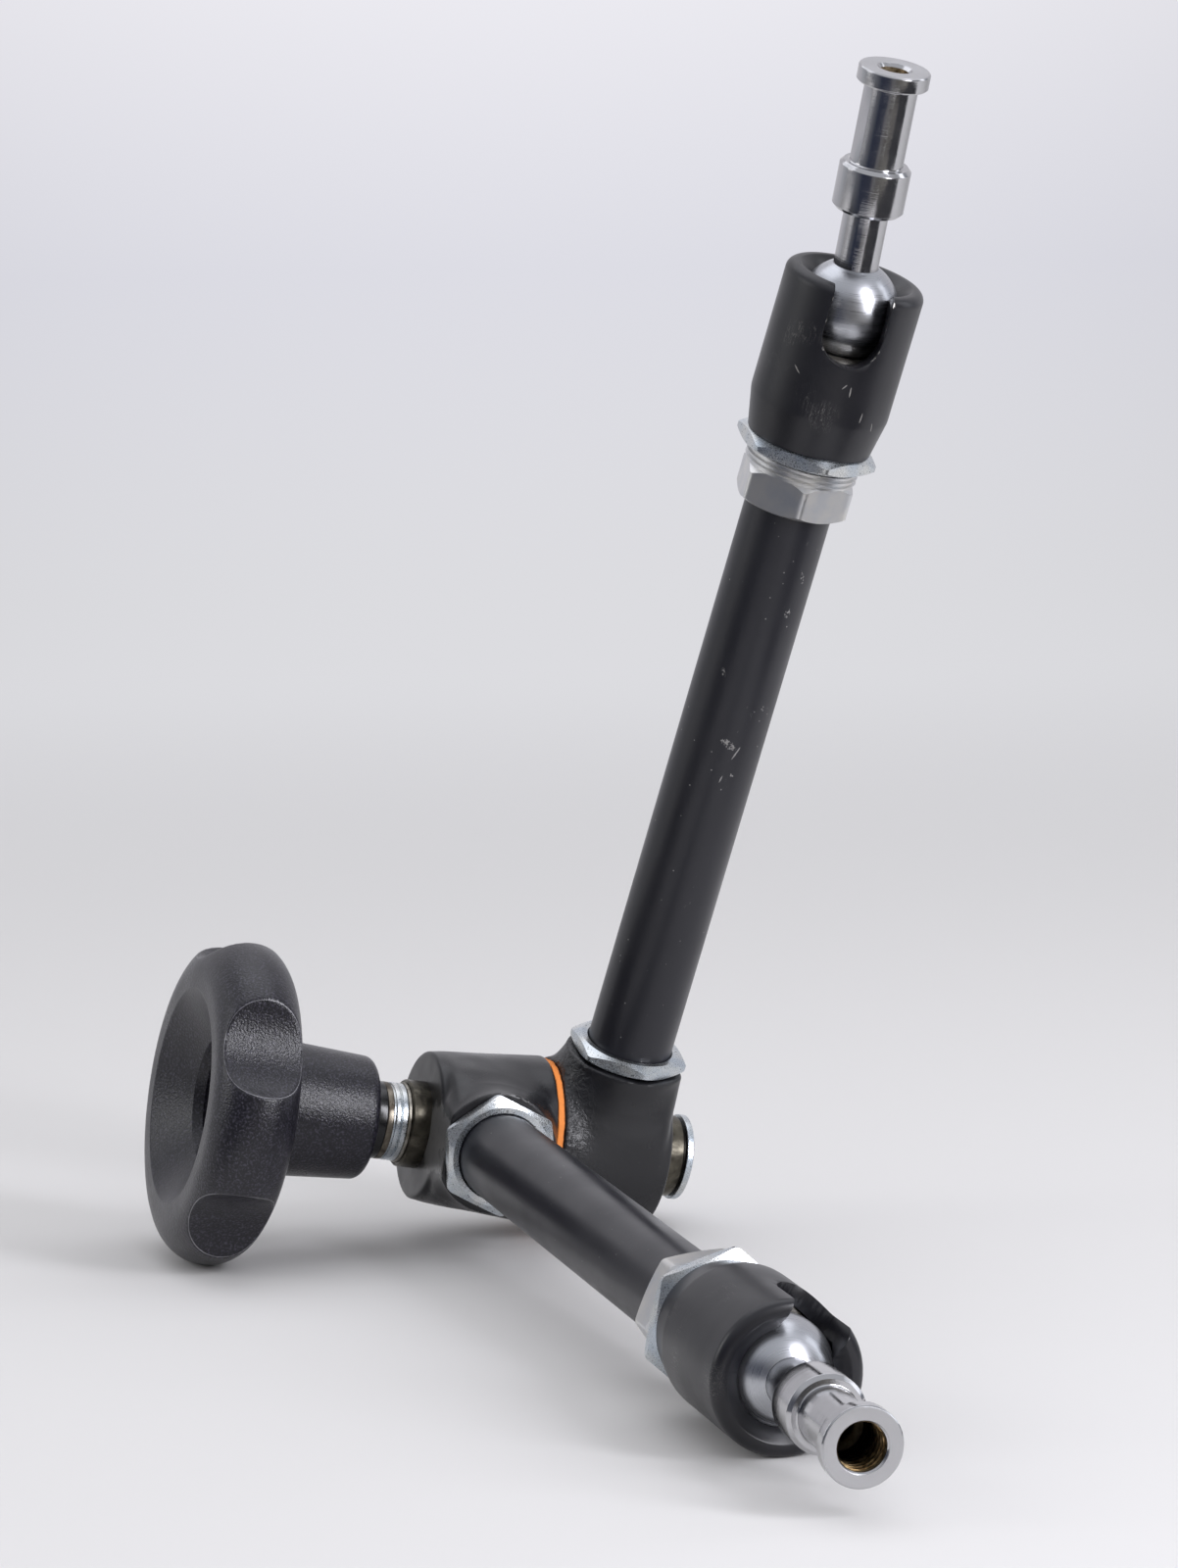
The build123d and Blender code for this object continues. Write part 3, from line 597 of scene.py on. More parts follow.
def marks(tree, spot, strokes):
    """Mask of scuffs: (end, end, half width, how full), in the piece's own mm."""
    grit = add(tree, "TexNoise", {"Scale": 2.4, "Detail": 3.0}, {"Vector": spot})
    total = None
    for first, last, width, full in strokes:
        along = Vector(last) - Vector(first)
        turn = along.to_track_quat("X", "Z").to_euler()
        within = add(tree, "Mapping", {
            "vector_type": "TEXTURE", "Location": (Vector(first) + Vector(last)) / 2, "Rotation": turn,
            "Scale": (along.length / 2, width, width)}, {"Vector": spot})
        away = add(tree, "VectorMath", {"operation": "LENGTH"}, {0: within.outputs[0]})
        core = add(tree, "MapRange", {"From Min": 0.5, "From Max": 1.0, "To Min": full, "To Max": 0.0}, {
            "Value": away.outputs["Value"]})
        sum_up = add(tree, "Math", {"operation": "ADD"}, {0: core.outputs[0], 1: grit.outputs["Fac"]})
        here = add(tree, "Math", {"operation": "GREATER_THAN", 1: 1.0}, {0: sum_up.outputs[0]})
        if total is None:
            total = here
        else:
            total = add(tree, "Math", {"operation": "MAXIMUM"}, {0: total.outputs[0], 1: here.outputs[0]})
    return total


def tube_coat(name, strokes):
    """Satin black coating with fine scuffs that run along and across."""
    material, tree, shader = start_material(name, "1B1B21", 0.0, 0.33, Specular_IOR_Level=0.5)
    place = add(tree, "TexCoord").outputs["Object"]
    spot = add(tree, "Attribute", {"attribute_name": "local"}).outputs["Vector"]
    dust = add(tree, "TexVoronoi", {"Scale": 330.0}, {"Vector": place})
    speck = add(tree, "MapRange", {
        "From Min": 0.03, "From Max": 0.06, "To Min": 0.8, "To Max": 0.0}, {"Value": dust.outputs["Distance"]})
    worn = add(tree, "Mapping", {"Scale": (0.35, 0.35, 0.12)}, {"Vector": spot})
    scuff = add(tree, "TexNoise", {"Scale": 1.0, "Detail": 5.0, "Roughness": 0.65}, {"Vector": worn.outputs[0]})
    patch = add(tree, "MapRange", {
        "From Min": 0.64, "From Max": 0.72, "To Max": 0.35}, {"Value": scuff.outputs["Fac"]})
    fine = add(tree, "Mapping", {"Scale": (5.0, 5.0, 0.8), "Rotation": (0.3, 0.2, 0.4)}, {"Vector": spot})
    hair = add(tree, "TexNoise", {"Scale": 1.0, "Detail": 3.0}, {"Vector": fine.outputs[0]})
    lines = add(tree, "MapRange", {"From Min": 0.6, "From Max": 0.66}, {"Value": hair.outputs["Fac"]})
    rubs = add(tree, "Math", {"operation": "MULTIPLY"}, {0: patch.outputs[0], 1: lines.outputs[0]})
    total = add(tree, "Math", {"operation": "MAXIMUM"}, {0: speck.outputs[0], 1: rubs.outputs[0]})
    if strokes:
        scuffs = add(tree, "Math", {"operation": "MULTIPLY", 1: 0.6}, {
            0: marks(tree, spot, strokes).outputs[0]})
        total = add(tree, "Math", {"operation": "MAXIMUM"}, {0: total.outputs[0], 1: scuffs.outputs[0]})
    mix = add(tree, "Mix", {"data_type": "RGBA", 6: colour("1B1B21"), 7: colour("9C9A98")}, {0: total.outputs[0]})
    tree.links.new(mix.outputs[2], shader.inputs["Base Color"])
    haze = add(tree, "TexNoise", {"Scale": 45.0, "Detail": 3.0}, {"Vector": place})
    rough = add(tree, "MapRange", {
        "From Min": 0.3, "From Max": 0.7, "To Min": 0.28, "To Max": 0.4}, {"Value": haze.outputs["Fac"]})
    tree.links.new(rough.outputs[0], shader.inputs["Roughness"])
    grain = add(tree, "TexNoise", {"Scale": 1900.0, "Detail": 2.0}, {"Vector": place})
    bump = add(tree, "Bump", {"Strength": 0.25, "Distance": 0.00004}, {"Height": grain.outputs["Fac"]})
    tree.links.new(bump.outputs[0], shader.inputs["Normal"])
    return material


upper_scuffs = (
    ((1.7, -9.9, 110.4), (0.0, -10.0, 106.0), 0.25, 0.85), ((-0.7, -10.0, 102.6), (-1.2, -9.9, 100.1), 0.22, 0.8),
    ((-4.8, -8.8, 111.3), (2.0, -9.8, 108.4), 1.7, 0.52), ((0.8, -10.0, 103.4), (2.2, -9.8, 101.2), 0.7, 0.46),
    ((3.4, -9.4, 154.8), (5.7, -8.2, 148.9), 1.0, 0.44), ((3.9, -9.2, 145.2), (2.8, -9.6, 141.3), 1.3, 0.43),
    ((-7.2, -6.9, 128.3), (-6.3, -7.7, 124.4), 0.6, 0.48), ((4.0, -9.2, 120.3), (5.1, -8.6, 118.7), 1.0, 0.44))
tube_rows = spaced(outline([(17.5, 8.0), (17.5, 9.6), (17.9, 10.0), (180.0, 10.0), (180.0, 8.0)]), 6.0)
for side, place in (("lower", lower_place), ("upper", upper_place)):
    tube = turned(side + " arm tube", place @ on_tube, tube_rows, 96)
    coat = tube_coat("satin black coated tube, " + side, upper_scuffs if side == "upper" else ())
    dress(tube, coat, side + "_arm", side + "_tube")

# Push rods and seats: bright ground steel inside each tube, which press the
# seat against the ball when the knob is tightened. The seat's rim is drawn
# low, so that the ball's underside shows in the slot.
bright_steel = oily_steel("ground steel, bright", "B4B1AB", "8A867E")
foot = 7.6 + (4.95 + 0.1) / math.cos(math.atan(0.5))
rod_rows = [(foot - 4.95 * math.cos(a), 4.95 * math.sin(a)) for a in np.linspace(0, math.pi / 2, 12)]
rod_rows += [(193.45, 4.95), (193.45, 0.0)]
seat_rows = [(193.5, 0), (193.5, 11.35), (194.1, 11.95), (203.4, 11.95), (203.7, 11.65)]
seat_rows += [(212.8 - 11.8 * math.cos(a), 11.8 * math.sin(a))
              for a in np.linspace(math.acos(9.1 / 11.8), 0, 16)]
for side, place in (("lower", lower_place), ("upper", upper_place)):
    rod = turned(side + " push rod", place @ on_tube, rod_rows, 64)
    dress(rod, bright_steel, side + "_rod", side + "_push_rod")
    seat = turned(side + " ball seat", place @ on_tube, seat_rows, 96)
    dress(seat, bright_steel, side + "_cup", side + "_seat")

# End fittings: turned from hexagonal aluminium bar, left bare, with a fine
# outside thread. The thread is a helical ridge made with Geometry Nodes.
aluminium, tree, shader = start_material("bare aluminium, turned from bar", "D6D5D2", 1.0, 0.34)
turning = add(tree, "Attribute", {"attribute_name": "turned"}).outputs["Vector"]
rings = add(tree, "Mapping", {"Scale": (7.0, 7.0, 0.35)}, {"Vector": turning})
lines = add(tree, "TexNoise", {"Scale": 1.0, "Detail": 3.0}, {"Vector": rings.outputs[0]})
place_out = add(tree, "TexCoord").outputs["Object"]
cloud = add(tree, "TexNoise", {"Scale": 160.0, "Detail": 4.0}, {"Vector": place_out})
tint = add(tree, "ValToRGB", None, {"Fac": cloud.outputs["Fac"]})
for stop, at, code in zip(tint.color_ramp.elements, (0.35, 0.65), ("CDCFD2", "DEDCD8")):
    stop.position, stop.color = at, colour(code)
tree.links.new(tint.outputs["Color"], shader.inputs["Base Color"])
rough = add(tree, "MapRange", {"To Min": 0.26, "To Max": 0.44}, {"Value": lines.outputs["Fac"]})
tree.links.new(rough.outputs[0], shader.inputs["Roughness"])
bump = add(tree, "Bump", {"Strength": 0.35, "Distance": 0.00004}, {"Height": lines.outputs["Fac"]})
tree.links.new(bump.outputs[0], shader.inputs["Normal"])


def thread_tree():
    """Geometry Nodes: a helical ridge of triangular section, closed ends."""
    tree = bpy.data.node_groups.new("screw thread ridge", "GeometryNodeTree")
    face = tree.interface
    for label, kind, value in (
            ("Root radius", "NodeSocketFloat", 0.01), ("Depth", "NodeSocketFloat", 0.0005),
            ("Pitch", "NodeSocketFloat", 0.001), ("Turns", "NodeSocketFloat", 4.0),
            ("Material", "NodeSocketMaterial", None)):
        socket = face.new_socket(label, in_out="INPUT", socket_type=kind)
        if value is not None:
            socket.default_value = value
    face.new_socket("Geometry", in_out="OUTPUT", socket_type="NodeSocketGeometry")
    source = add(tree, "NodeGroupInput").outputs
    rise = add(tree, "Math", {"operation": "MULTIPLY"}, {0: source["Pitch"], 1: source["Turns"]})
    helix = add(tree, "GeometryNodeCurveSpiral", {"Resolution": 72}, {
        "Rotations": source["Turns"], "Start Radius": source["Root radius"],
        "End Radius": source["Root radius"], "Height": rise.outputs[0]})
    section = add(tree, "GeometryNodeCurvePrimitiveCircle", {"Resolution": 3}, {"Radius": source["Depth"]})
    turned_section = add(tree, "GeometryNodeTransform", {"Rotation": (0, 0, math.pi)}, {
        "Geometry": section.outputs[0]})
    upright = add(tree, "GeometryNodeSetCurveNormal", {"mode": "Z_UP"}, {"Curve": helix.outputs[0]})
    ridge = add(tree, "GeometryNodeCurveToMesh", {"Fill Caps": True}, {
        "Curve": upright.outputs[0], "Profile Curve": turned_section.outputs[0]})
    real = add(tree, "GeometryNodeRealizeInstances", None, {"Geometry": ridge.outputs[0]})
    painted = add(tree, "GeometryNodeSetMaterial", None, {
        "Geometry": real.outputs[0], "Material": source["Material"]})
    add(tree, "NodeGroupOutput", None, {"Geometry": painted.outputs[0]})
    return tree


ridge_tree = thread_tree()


def thread_ridge(name, place, start, root, depth, pitch, turns, material):
    """One thread as a plain mesh in its place."""
    carrier = bpy.data.objects.new(name + " carrier", bpy.data.meshes.new(name + " carrier"))
    bpy.context.scene.collection.objects.link(carrier)
    modifier = carrier.modifiers.new("thread", "NODES")
    modifier.node_group = ridge_tree
    ids = {item.name: item.identifier for item in ridge_tree.interface.items_tree if item.in_out == "INPUT"}
    values = {"Root radius": root, "Depth": depth, "Pitch": pitch, "Turns": turns, "Material": material}
    for label, value in values.items():
        modifier[ids[label]] = value
    bpy.context.view_layer.update()
    seen = carrier.evaluated_get(bpy.context.evaluated_depsgraph_get())
    mesh = bpy.data.meshes.new_from_object(seen)
    mesh.name = name
    bpy.data.objects.remove(carrier)
    mesh.transform(place @ Matrix.Translation(Vector((0, 0, start))))
    piece = bpy.data.objects.new(name.replace(" ", "_"), mesh)
    bpy.context.scene.collection.objects.link(piece)
    mark_turning(piece, place, 40)
    return piece


def fitting_mesh(name, place, turn):
    """Hexagon, turned cone and threaded barrel, in one piece."""
    flats, hex_start, hex_top, cone_top = 12.0, 166.0, 172.9, 174.1
    root = 12.4
    points = []
    count = 180
    for i in range(count):
        angle = 2 * math.pi * i / count
        from_flat = (math.degrees(angle) - turn) % 60 - 30
        reach = flats / math.cos(math.radians(from_flat))
        reach -= 0.2 * max(0, (abs(from_flat) - 27) / 3) ** 2
        top = min(cone_top, hex_top + max(0, (13.856 - reach)) / (13.856 - root) * 1.2)
        low = hex_start + max(0, reach - 11.9) * 0.56
        column = [
            (hex_start + 0.2, 10.05), (hex_start, 10.3), (hex_start, 11.9), (low, reach),
            (top, reach), (cone_top, min(reach, root)), (cone_top, root), (190.0, root), (191.0, 11.9),
            (191.0, 5.1), (180.1, 5.1), (180.1, 10.05)]
        for z, r in column:
            points.append((r * math.cos(angle), r * math.sin(angle), z))
    return new_piece(name, place, points, ring_faces(count, len(column)), 25)


for side, place, turn in (("lower", lower_place, 16.0), ("upper", upper_place, 19.9)):
    fitting = fitting_mesh(side + " end fitting", place @ on_tube, turn)
    ridge = thread_ridge(side + " fitting thread", place @ on_tube, 174.7, 12.25, 0.7, 1.25, 3.0, aluminium)
    dress(fitting, aluminium, side + "_arm", side + "_fitting")
    dress(ridge, aluminium, side + "_arm", side + "_fitting")

# Lock nuts: zinc plated hexagonal nuts that jam the sockets on their threads.
# Cold formed like the jam nuts, but larger.
for side, place in (("lower", lower_place), ("upper", upper_place)):
    nut = hex_nut(side + " lock nut", place @ on_tube, 28.9, 178.1, 3.5, 13.0, 28.6, 0.5, 0.5)
    dress(nut, zinc, side + "_arm", side + "_lock_nut")

# Ball sockets: turned steel cups, coated black, closed in at the mouth round the ball, with a milled U slot so
# that the stud can lie over. The coating is scratched, and on the upper socket worn bright along the slot.
socket_base = 181.6
slot_centre = socket_base + 22.1 + 6.75


def socket_coat(name, slot_angle, wear, strokes):
    """Black coating, scratched, rubbed to bare steel on the slot's edges."""
    material, tree, shader = start_material(name, "17171A", 0.0, 0.34, Specular_IOR_Level=0.5)
    spot = add(tree, "Attribute", {"attribute_name": "local"}).outputs["Vector"]
    facing = add(tree, "Mapping", {
        "vector_type": "TEXTURE", "Location": (0, 0, slot_centre), "Rotation": (0, 0, math.radians(slot_angle))},
        {"Vector": spot})
    part = add(tree, "SeparateXYZ", None, {0: facing.outputs[0]})
    under = add(tree, "Math", {"operation": "MINIMUM", 1: 0.0}, {0: part.outputs["Z"]})
    flat = add(tree, "CombineXYZ", None, {"X": part.outputs["Y"], "Y": under.outputs[0]})
    away = add(tree, "VectorMath", {"operation": "LENGTH"}, {0: flat.outputs[0]})
    off = add(tree, "Math", {"operation": "SUBTRACT", 1: 6.75}, {0: away.outputs["Value"]})
    front = add(tree, "Math", {"operation": "GREATER_THAN", 1: 2.0}, {0: part.outputs["X"]})
    near = add(tree, "Math", {"operation": "ABSOLUTE"}, {0: off.outputs[0]})
    place = add(tree, "TexCoord").outputs["Object"]
    rub = add(tree, "TexNoise", {"Scale": 320.0, "Detail": 4.0}, {"Vector": place})
    reach = add(tree, "MapRange", {
        "From Min": 0.56, "From Max": 0.72, "To Min": 0.0, "To Max": wear}, {"Value": rub.outputs["Fac"]})
    close = add(tree, "Math", {"operation": "LESS_THAN"}, {0: near.outputs[0], 1: reach.outputs[0]})
    shown = add(tree, "Math", {"operation": "MULTIPLY"}, {0: close.outputs[0], 1: front.outputs[0]})
    around = add(tree, "SeparateXYZ", None, {
        0: add(tree, "Attribute", {"attribute_name": "turned"}).outputs["Vector"]})
    skin = add(tree, "Math", {"operation": "GREATER_THAN", 1: 15.15}, {0: around.outputs["Y"]})
    edge = add(tree, "Math", {"operation": "MULTIPLY"}, {0: shown.outputs[0], 1: skin.outputs[0]})
    slant = add(tree, "Mapping", {"Scale": (1.6, 1.6, 0.14), "Rotation": (0.5, 0.35, 0.2)}, {"Vector": spot})
    hair = add(tree, "TexNoise", {"Scale": 1.0, "Detail": 4.0, "Roughness": 0.6}, {"Vector": slant.outputs[0]})
    thin = add(tree, "Math", {"operation": "SUBTRACT", 1: 0.5}, {0: hair.outputs["Fac"]})
    thin = add(tree, "Math", {"operation": "ABSOLUTE"}, {0: thin.outputs[0]})
    line = add(tree, "Math", {"operation": "LESS_THAN", 1: 0.0035}, {0: thin.outputs[0]})
    patch = add(tree, "TexNoise", {"Scale": 70.0, "Detail": 2.0}, {"Vector": place})
    some = add(tree, "MapRange", {
        "From Min": 0.55, "From Max": 0.68, "To Max": 0.5}, {"Value": patch.outputs["Fac"]})
    scratch = add(tree, "Math", {"operation": "MULTIPLY"}, {0: line.outputs[0], 1: some.outputs[0]})
    bare = add(tree, "Math", {"operation": "MAXIMUM"}, {0: edge.outputs[0], 1: scratch.outputs[0]})
    if strokes:
        scuffs = add(tree, "Math", {"operation": "MULTIPLY", 1: 0.4}, {
            0: marks(tree, spot, strokes).outputs[0]})
        bare = add(tree, "Math", {"operation": "MAXIMUM"}, {0: bare.outputs[0], 1: scuffs.outputs[0]})
    mix = add(tree, "Mix", {"data_type": "RGBA", 6: colour("16161B"), 7: colour("B9B6B1")}, {0: bare.outputs[0]})
    tree.links.new(mix.outputs[2], shader.inputs["Base Color"])
    tree.links.new(edge.outputs[0], shader.inputs["Metallic"])
    haze = add(tree, "TexNoise", {"Scale": 60.0, "Detail": 3.0}, {"Vector": place})
    rough = add(tree, "MapRange", {
        "From Min": 0.3, "From Max": 0.7, "To Min": 0.28, "To Max": 0.42}, {"Value": haze.outputs["Fac"]})
    tree.links.new(rough.outputs[0], shader.inputs["Roughness"])
    grain = add(tree, "TexNoise", {"Scale": 1800.0, "Detail": 2.0}, {"Vector": place})
    bump = add(tree, "Bump", {"Strength": 0.2, "Distance": 0.00004}, {"Height": grain.outputs["Fac"]})
    tree.links.new(bump.outputs[0], shader.inputs["Normal"])
    return material


def socket_mesh(name, place, slot_angle):
    """Turned cup with the U slot cut out of it and its edges broken."""
    rim = socket_base + 39.2
    rows = spaced(outline([
        (socket_base, 13.0), (socket_base, 14.1, 0.3), (socket_base + 8.9, 15.8, 6.0), (rim, 15.8, 2.2),
        (rim, 12.9, 0.8), (socket_base + 37.1, 9.95), (socket_base + 33.3, 12.0), (192.0, 12.0), (192.0, 13.0)],
        6.0), 3.0)
    cup = turned(name, place, rows, 160)
    count = 48
    loop = [(-6.75, 40.0)]
    loop += [(-6.75 * math.cos(a), -6.75 * math.sin(a)) for a in np.linspace(0, math.pi, count)]
    loop += [(6.75, 40.0)]
    points = [(x, across, slot_centre + up) for x in (4.0, 25.0) for across, up in loop]
    size = len(loop)
    faces = [tuple(range(size)), tuple(range(2 * size - 1, size - 1, -1))]
    faces += [(k, (k + 1) % size, size + (k + 1) % size, size + k) for k in range(size)]
    cutter = new_piece(name + " cutter", place @ Matrix.Rotation(math.radians(slot_angle), 4, "Z"), points, faces)
    cut = cup.modifiers.new("slot", "BOOLEAN")
    cut.operation = "DIFFERENCE"
    cut.object = cutter
    cut.solver = "EXACT"
    soft = cup.modifiers.new("edges", "BEVEL")
    soft.width = 0.0004
    soft.segments = 3
    soft.limit_method = "ANGLE"
    soft.angle_limit = math.radians(40)
    soft.harden_normals = True
    bpy.context.view_layer.update()
    seen = cup.evaluated_get(bpy.context.evaluated_depsgraph_get())
    mesh = bpy.data.meshes.new_from_object(seen)
    cup.modifiers.clear()
    cup.data = mesh
    bpy.data.objects.remove(cutter)
    for label in ("turned", "local"):
        if label in mesh.attributes:
            mesh.attributes.remove(mesh.attributes[label])
    mark_turning(cup, place, 35)
    return cup


socket_scuffs = (
    ((-0.1, -15.8, 200.4), (0.2, -15.8, 197.0), 0.2, 0.85), ((4.6, -15.1, 194.7), (4.4, -15.2, 191.4), 0.2, 0.85),
    ((-12.6, -9.5, 201.7), (-10.6, -11.7, 199.1), 0.25, 0.7), ((7.9, -13.7, 192.4), (8.6, -13.2, 188.8), 0.2, 0.7),
    ((-2.2, -15.6, 198.8), (-0.9, -15.8, 200.5), 0.2, 0.75))
for side, place, slot_angle, wear in (("lower", lower_place, -109.5, 0.0), ("upper", upper_place, -99.4, 0.6)):
    socket = socket_mesh(side + " ball socket", place @ on_tube, slot_angle)
    coat = socket_coat("black coated steel, " + side + " socket", slot_angle, wear, socket_scuffs if wear else ())
    dress(socket, coat, side + "_arm", side + "_socket")

# Balls: steel balls, lapped to a satin, with fine rings round the stud. Each
# is pressed on the root of its stud.
satin, tree, shader = start_material("satin steel, lapped", "B9BBC0", 1.0, 0.3)
turning = add(tree, "Attribute", {"attribute_name": "turned"}).outputs["Vector"]
rings = add(tree, "Mapping", {"Scale": (8.0, 0.6, 0.4)}, {"Vector": turning})
lines = add(tree, "TexNoise", {"Scale": 1.0, "Detail": 4.0}, {"Vector": rings.outputs[0]})
rough = add(tree, "MapRange", {
    "From Min": 0.3, "From Max": 0.7, "To Min": 0.24, "To Max": 0.36}, {"Value": lines.outputs["Fac"]})
tree.links.new(rough.outputs[0], shader.inputs["Roughness"])
bump = add(tree, "Bump", {"Strength": 0.1, "Distance": 0.00002}, {"Height": lines.outputs["Fac"]})
tree.links.new(bump.outputs[0], shader.inputs["Normal"])
ball_rows = [(2.0, 0.0), (2.0, 5.09)]
ball_rows += [(11.5 * math.cos(a), 11.5 * math.sin(a)) for a in np.linspace(math.asin(5.09 / 11.5), math.pi, 64)]
studs = {}
for side, arm in (("lower", lower_place), ("upper", upper_place)):
    point, along = joint_line(side + "_spin")
    arm_y = (arm.to_3x3() @ Vector((0, 1, 0))).normalized()
    studs[side] = stand(point, along, arm_y.cross(along))
    ball = turned(side + " ball", studs[side], ball_rows, 128)
    dress(ball, satin, side + "_joint_ball", side + "_ball")

# Spigots: turned brass studs with a mirror chrome plating, a collar, a waisted neck with a flat for the receiver's
# screw, and a flange with a tapped hole whose inside is bare brass, with painted shade that darkens it deeper
# down.
chrome, tree, shader = start_material("chrome plating on turned brass", "BCBCBE", 1.0, 0.1)
turning = add(tree, "Attribute", {"attribute_name": "turned"}).outputs["Vector"]
part = add(tree, "SeparateXYZ", None, {0: turning})
rings = add(tree, "Mapping", {"Scale": (6.0, 6.0, 0.6)}, {"Vector": turning})
lines = add(tree, "TexNoise", {"Scale": 1.0, "Detail": 3.0}, {"Vector": rings.outputs[0]})
bump = add(tree, "Bump", {"Strength": 0.5, "Distance": 0.00003}, {"Height": lines.outputs["Fac"]})
tree.links.new(bump.outputs[0], shader.inputs["Normal"])
place_out = add(tree, "TexCoord").outputs["Object"]
haze = add(tree, "TexNoise", {"Scale": 240.0, "Detail": 4.0}, {"Vector": place_out})
face = add(tree, "Math", {"operation": "GREATER_THAN", 1: 55.6}, {0: part.outputs["X"]})
rough = add(tree, "MapRange", {
    "From Min": 0.35, "From Max": 0.65, "To Min": 0.07, "To Max": 0.17}, {"Value": haze.outputs["Fac"]})
satin_face = add(tree, "Math", {"operation": "MULTIPLY_ADD", 1: 0.22}, {
    0: face.outputs[0], 2: rough.outputs[0]})
tree.links.new(satin_face.outputs[0], shader.inputs["Roughness"])
brass, tree, shader = start_material("bare brass in the tapped hole, with painted shade", "C49A63", 1.0, 0.4)
place_out = add(tree, "TexCoord").outputs["Object"]
stain = add(tree, "TexNoise", {"Scale": 900.0, "Detail": 4.0}, {"Vector": place_out})
tint = add(tree, "ValToRGB", None, {"Fac": stain.outputs["Fac"]})
for stop, at, code in zip(tint.color_ramp.elements, (0.3, 0.7), ("8E7B5B", "F0E2C6")):
    stop.position, stop.color = at, colour(code)
depth = add(tree, "SeparateXYZ", None, {
    0: add(tree, "Attribute", {"attribute_name": "turned"}).outputs["Vector"]})
# Painted shade: the brass colour is darkened deeper down the hole.
painted_hole_shade = add(tree, "MapRange", {"From Min": 46.0, "From Max": 53.0, "To Min": 0.05, "To Max": 1.0}, {
    "Value": depth.outputs["X"]})
brass_with_painted_shade = add(tree, "VectorMath", {"operation": "SCALE"}, {0: tint.outputs["Color"], "Scale": painted_hole_shade.outputs[0]})
tree.links.new(brass_with_painted_shade.outputs[0], shader.inputs["Base Color"])


def spigot_mesh(name, place, hole, sink, flat_angle):
    """Stud with shank, collar, waisted neck, flange and blind hole."""
    top = 55.75
    corners = [
        (2.3, 0), (2.3, 5.04), (23.2, 5.04, 0.2), (23.2, 7.2), (24.0, 8.0, 0.2), (33.2, 8.0, 0.2), (34.0, 7.2),
        (34.0, 5.95, 0.4), (51.6, 5.95, 0.2), (52.1, 6.45), (52.1, 7.65), (52.45, 8.0, 0.15),
        (55.4, 8.0, 0.2), (top, 7.65), (top, hole + sink, 0.1), (top - sink, hole), (40.75, hole), (39.25, 0)]
    rows = outline(corners)
    rows = [rows[0]] + spaced(rows[1:], 4.0)[:-1] + [rows[-1]]

    def flatted(angle, height, radius):
        if not 35.0 < height < 51.1 or radius < 5.0 or radius > 6.2:
            return height, radius
        turn = math.cos(angle - math.radians(flat_angle))
        if turn <= 0:
            return height, radius
        return height, min(radius, 5.55 / turn)

    return turned(name, place, rows, 144, flatted)


for side, hole, sink, pitch, flat_angle in (
        ("lower", 4.8, 0.4, 1.5875, 90.0), ("upper", 3.2, 0.8, 1.27, 189.0)):
    spigot = spigot_mesh(side + " spigot", studs[side], hole, sink, flat_angle)
    dress(spigot, chrome, side + "_stud", side + "_spigot")
    spigot.data.materials.append(brass)
    local = np.empty(len(spigot.data.vertices) * 3)
    spigot.data.attributes["turned"].data.foreach_get("vector", local)
    local = local.reshape(-1, 3)
    for face in spigot.data.polygons:
        middle = local[list(face.vertices)].mean(0)
        if middle[0] > 39.0 and middle[1] < hole + 0.05:
            face.material_index = 1
    turns = int(12.0 / pitch)
    ridge = thread_ridge(side + " spigot thread", studs[side], 54.2 - sink - turns * pitch,
                         hole, 0.34, pitch, float(turns), brass)
    dress(ridge, brass, side + "_stud", side + "_spigot")

# Floor and backdrop: one pale sheet that curves up behind the arm. The floor takes the lamps' light and the
# shadows; further back the sheet glows with painted light for the camera and in reflections, brighter towards the
# top and darker towards the sides. It isn't part of the object.
sheet_rows = []
for k in range(49):
    a = math.radians(90 * k / 48)
    sheet_rows.append((1.9 + 1.2 * math.sin(a), 1.2 - 1.2 * math.cos(a)))
profile = [(-0.24, 0.0), (0.0, 0.0), (1.0, 0.0)] + sheet_rows + [(3.1, 2.4), (3.1, 5.0)]
sheet_points = [(x, y, z) for x in (-4.5, 4.5) for y, z in profile]
size = len(profile)
sheet_faces = [(k, size + k, size + k + 1, k + 1) for k in range(size - 1)]
sheet = new_piece("floor and backdrop", Matrix.Scale(1, 4), sheet_points, sheet_faces)
paper, tree, shader = start_material("pale sheet with painted backdrop glow", "DAD9D8", 0.0, 0.8)
place_out = add(tree, "TexCoord").outputs["Object"]
part = add(tree, "SeparateXYZ", None, {0: place_out})
path = add(tree, "LightPath")
seen = add(tree, "Math", {"operation": "MAXIMUM"}, {
    0: path.outputs["Is Camera Ray"], 1: path.outputs["Is Glossy Ray"]})
seen = add(tree, "Math", {"operation": "MAXIMUM"}, {0: seen.outputs[0], 1: path.outputs["Is Transmission Ray"]})
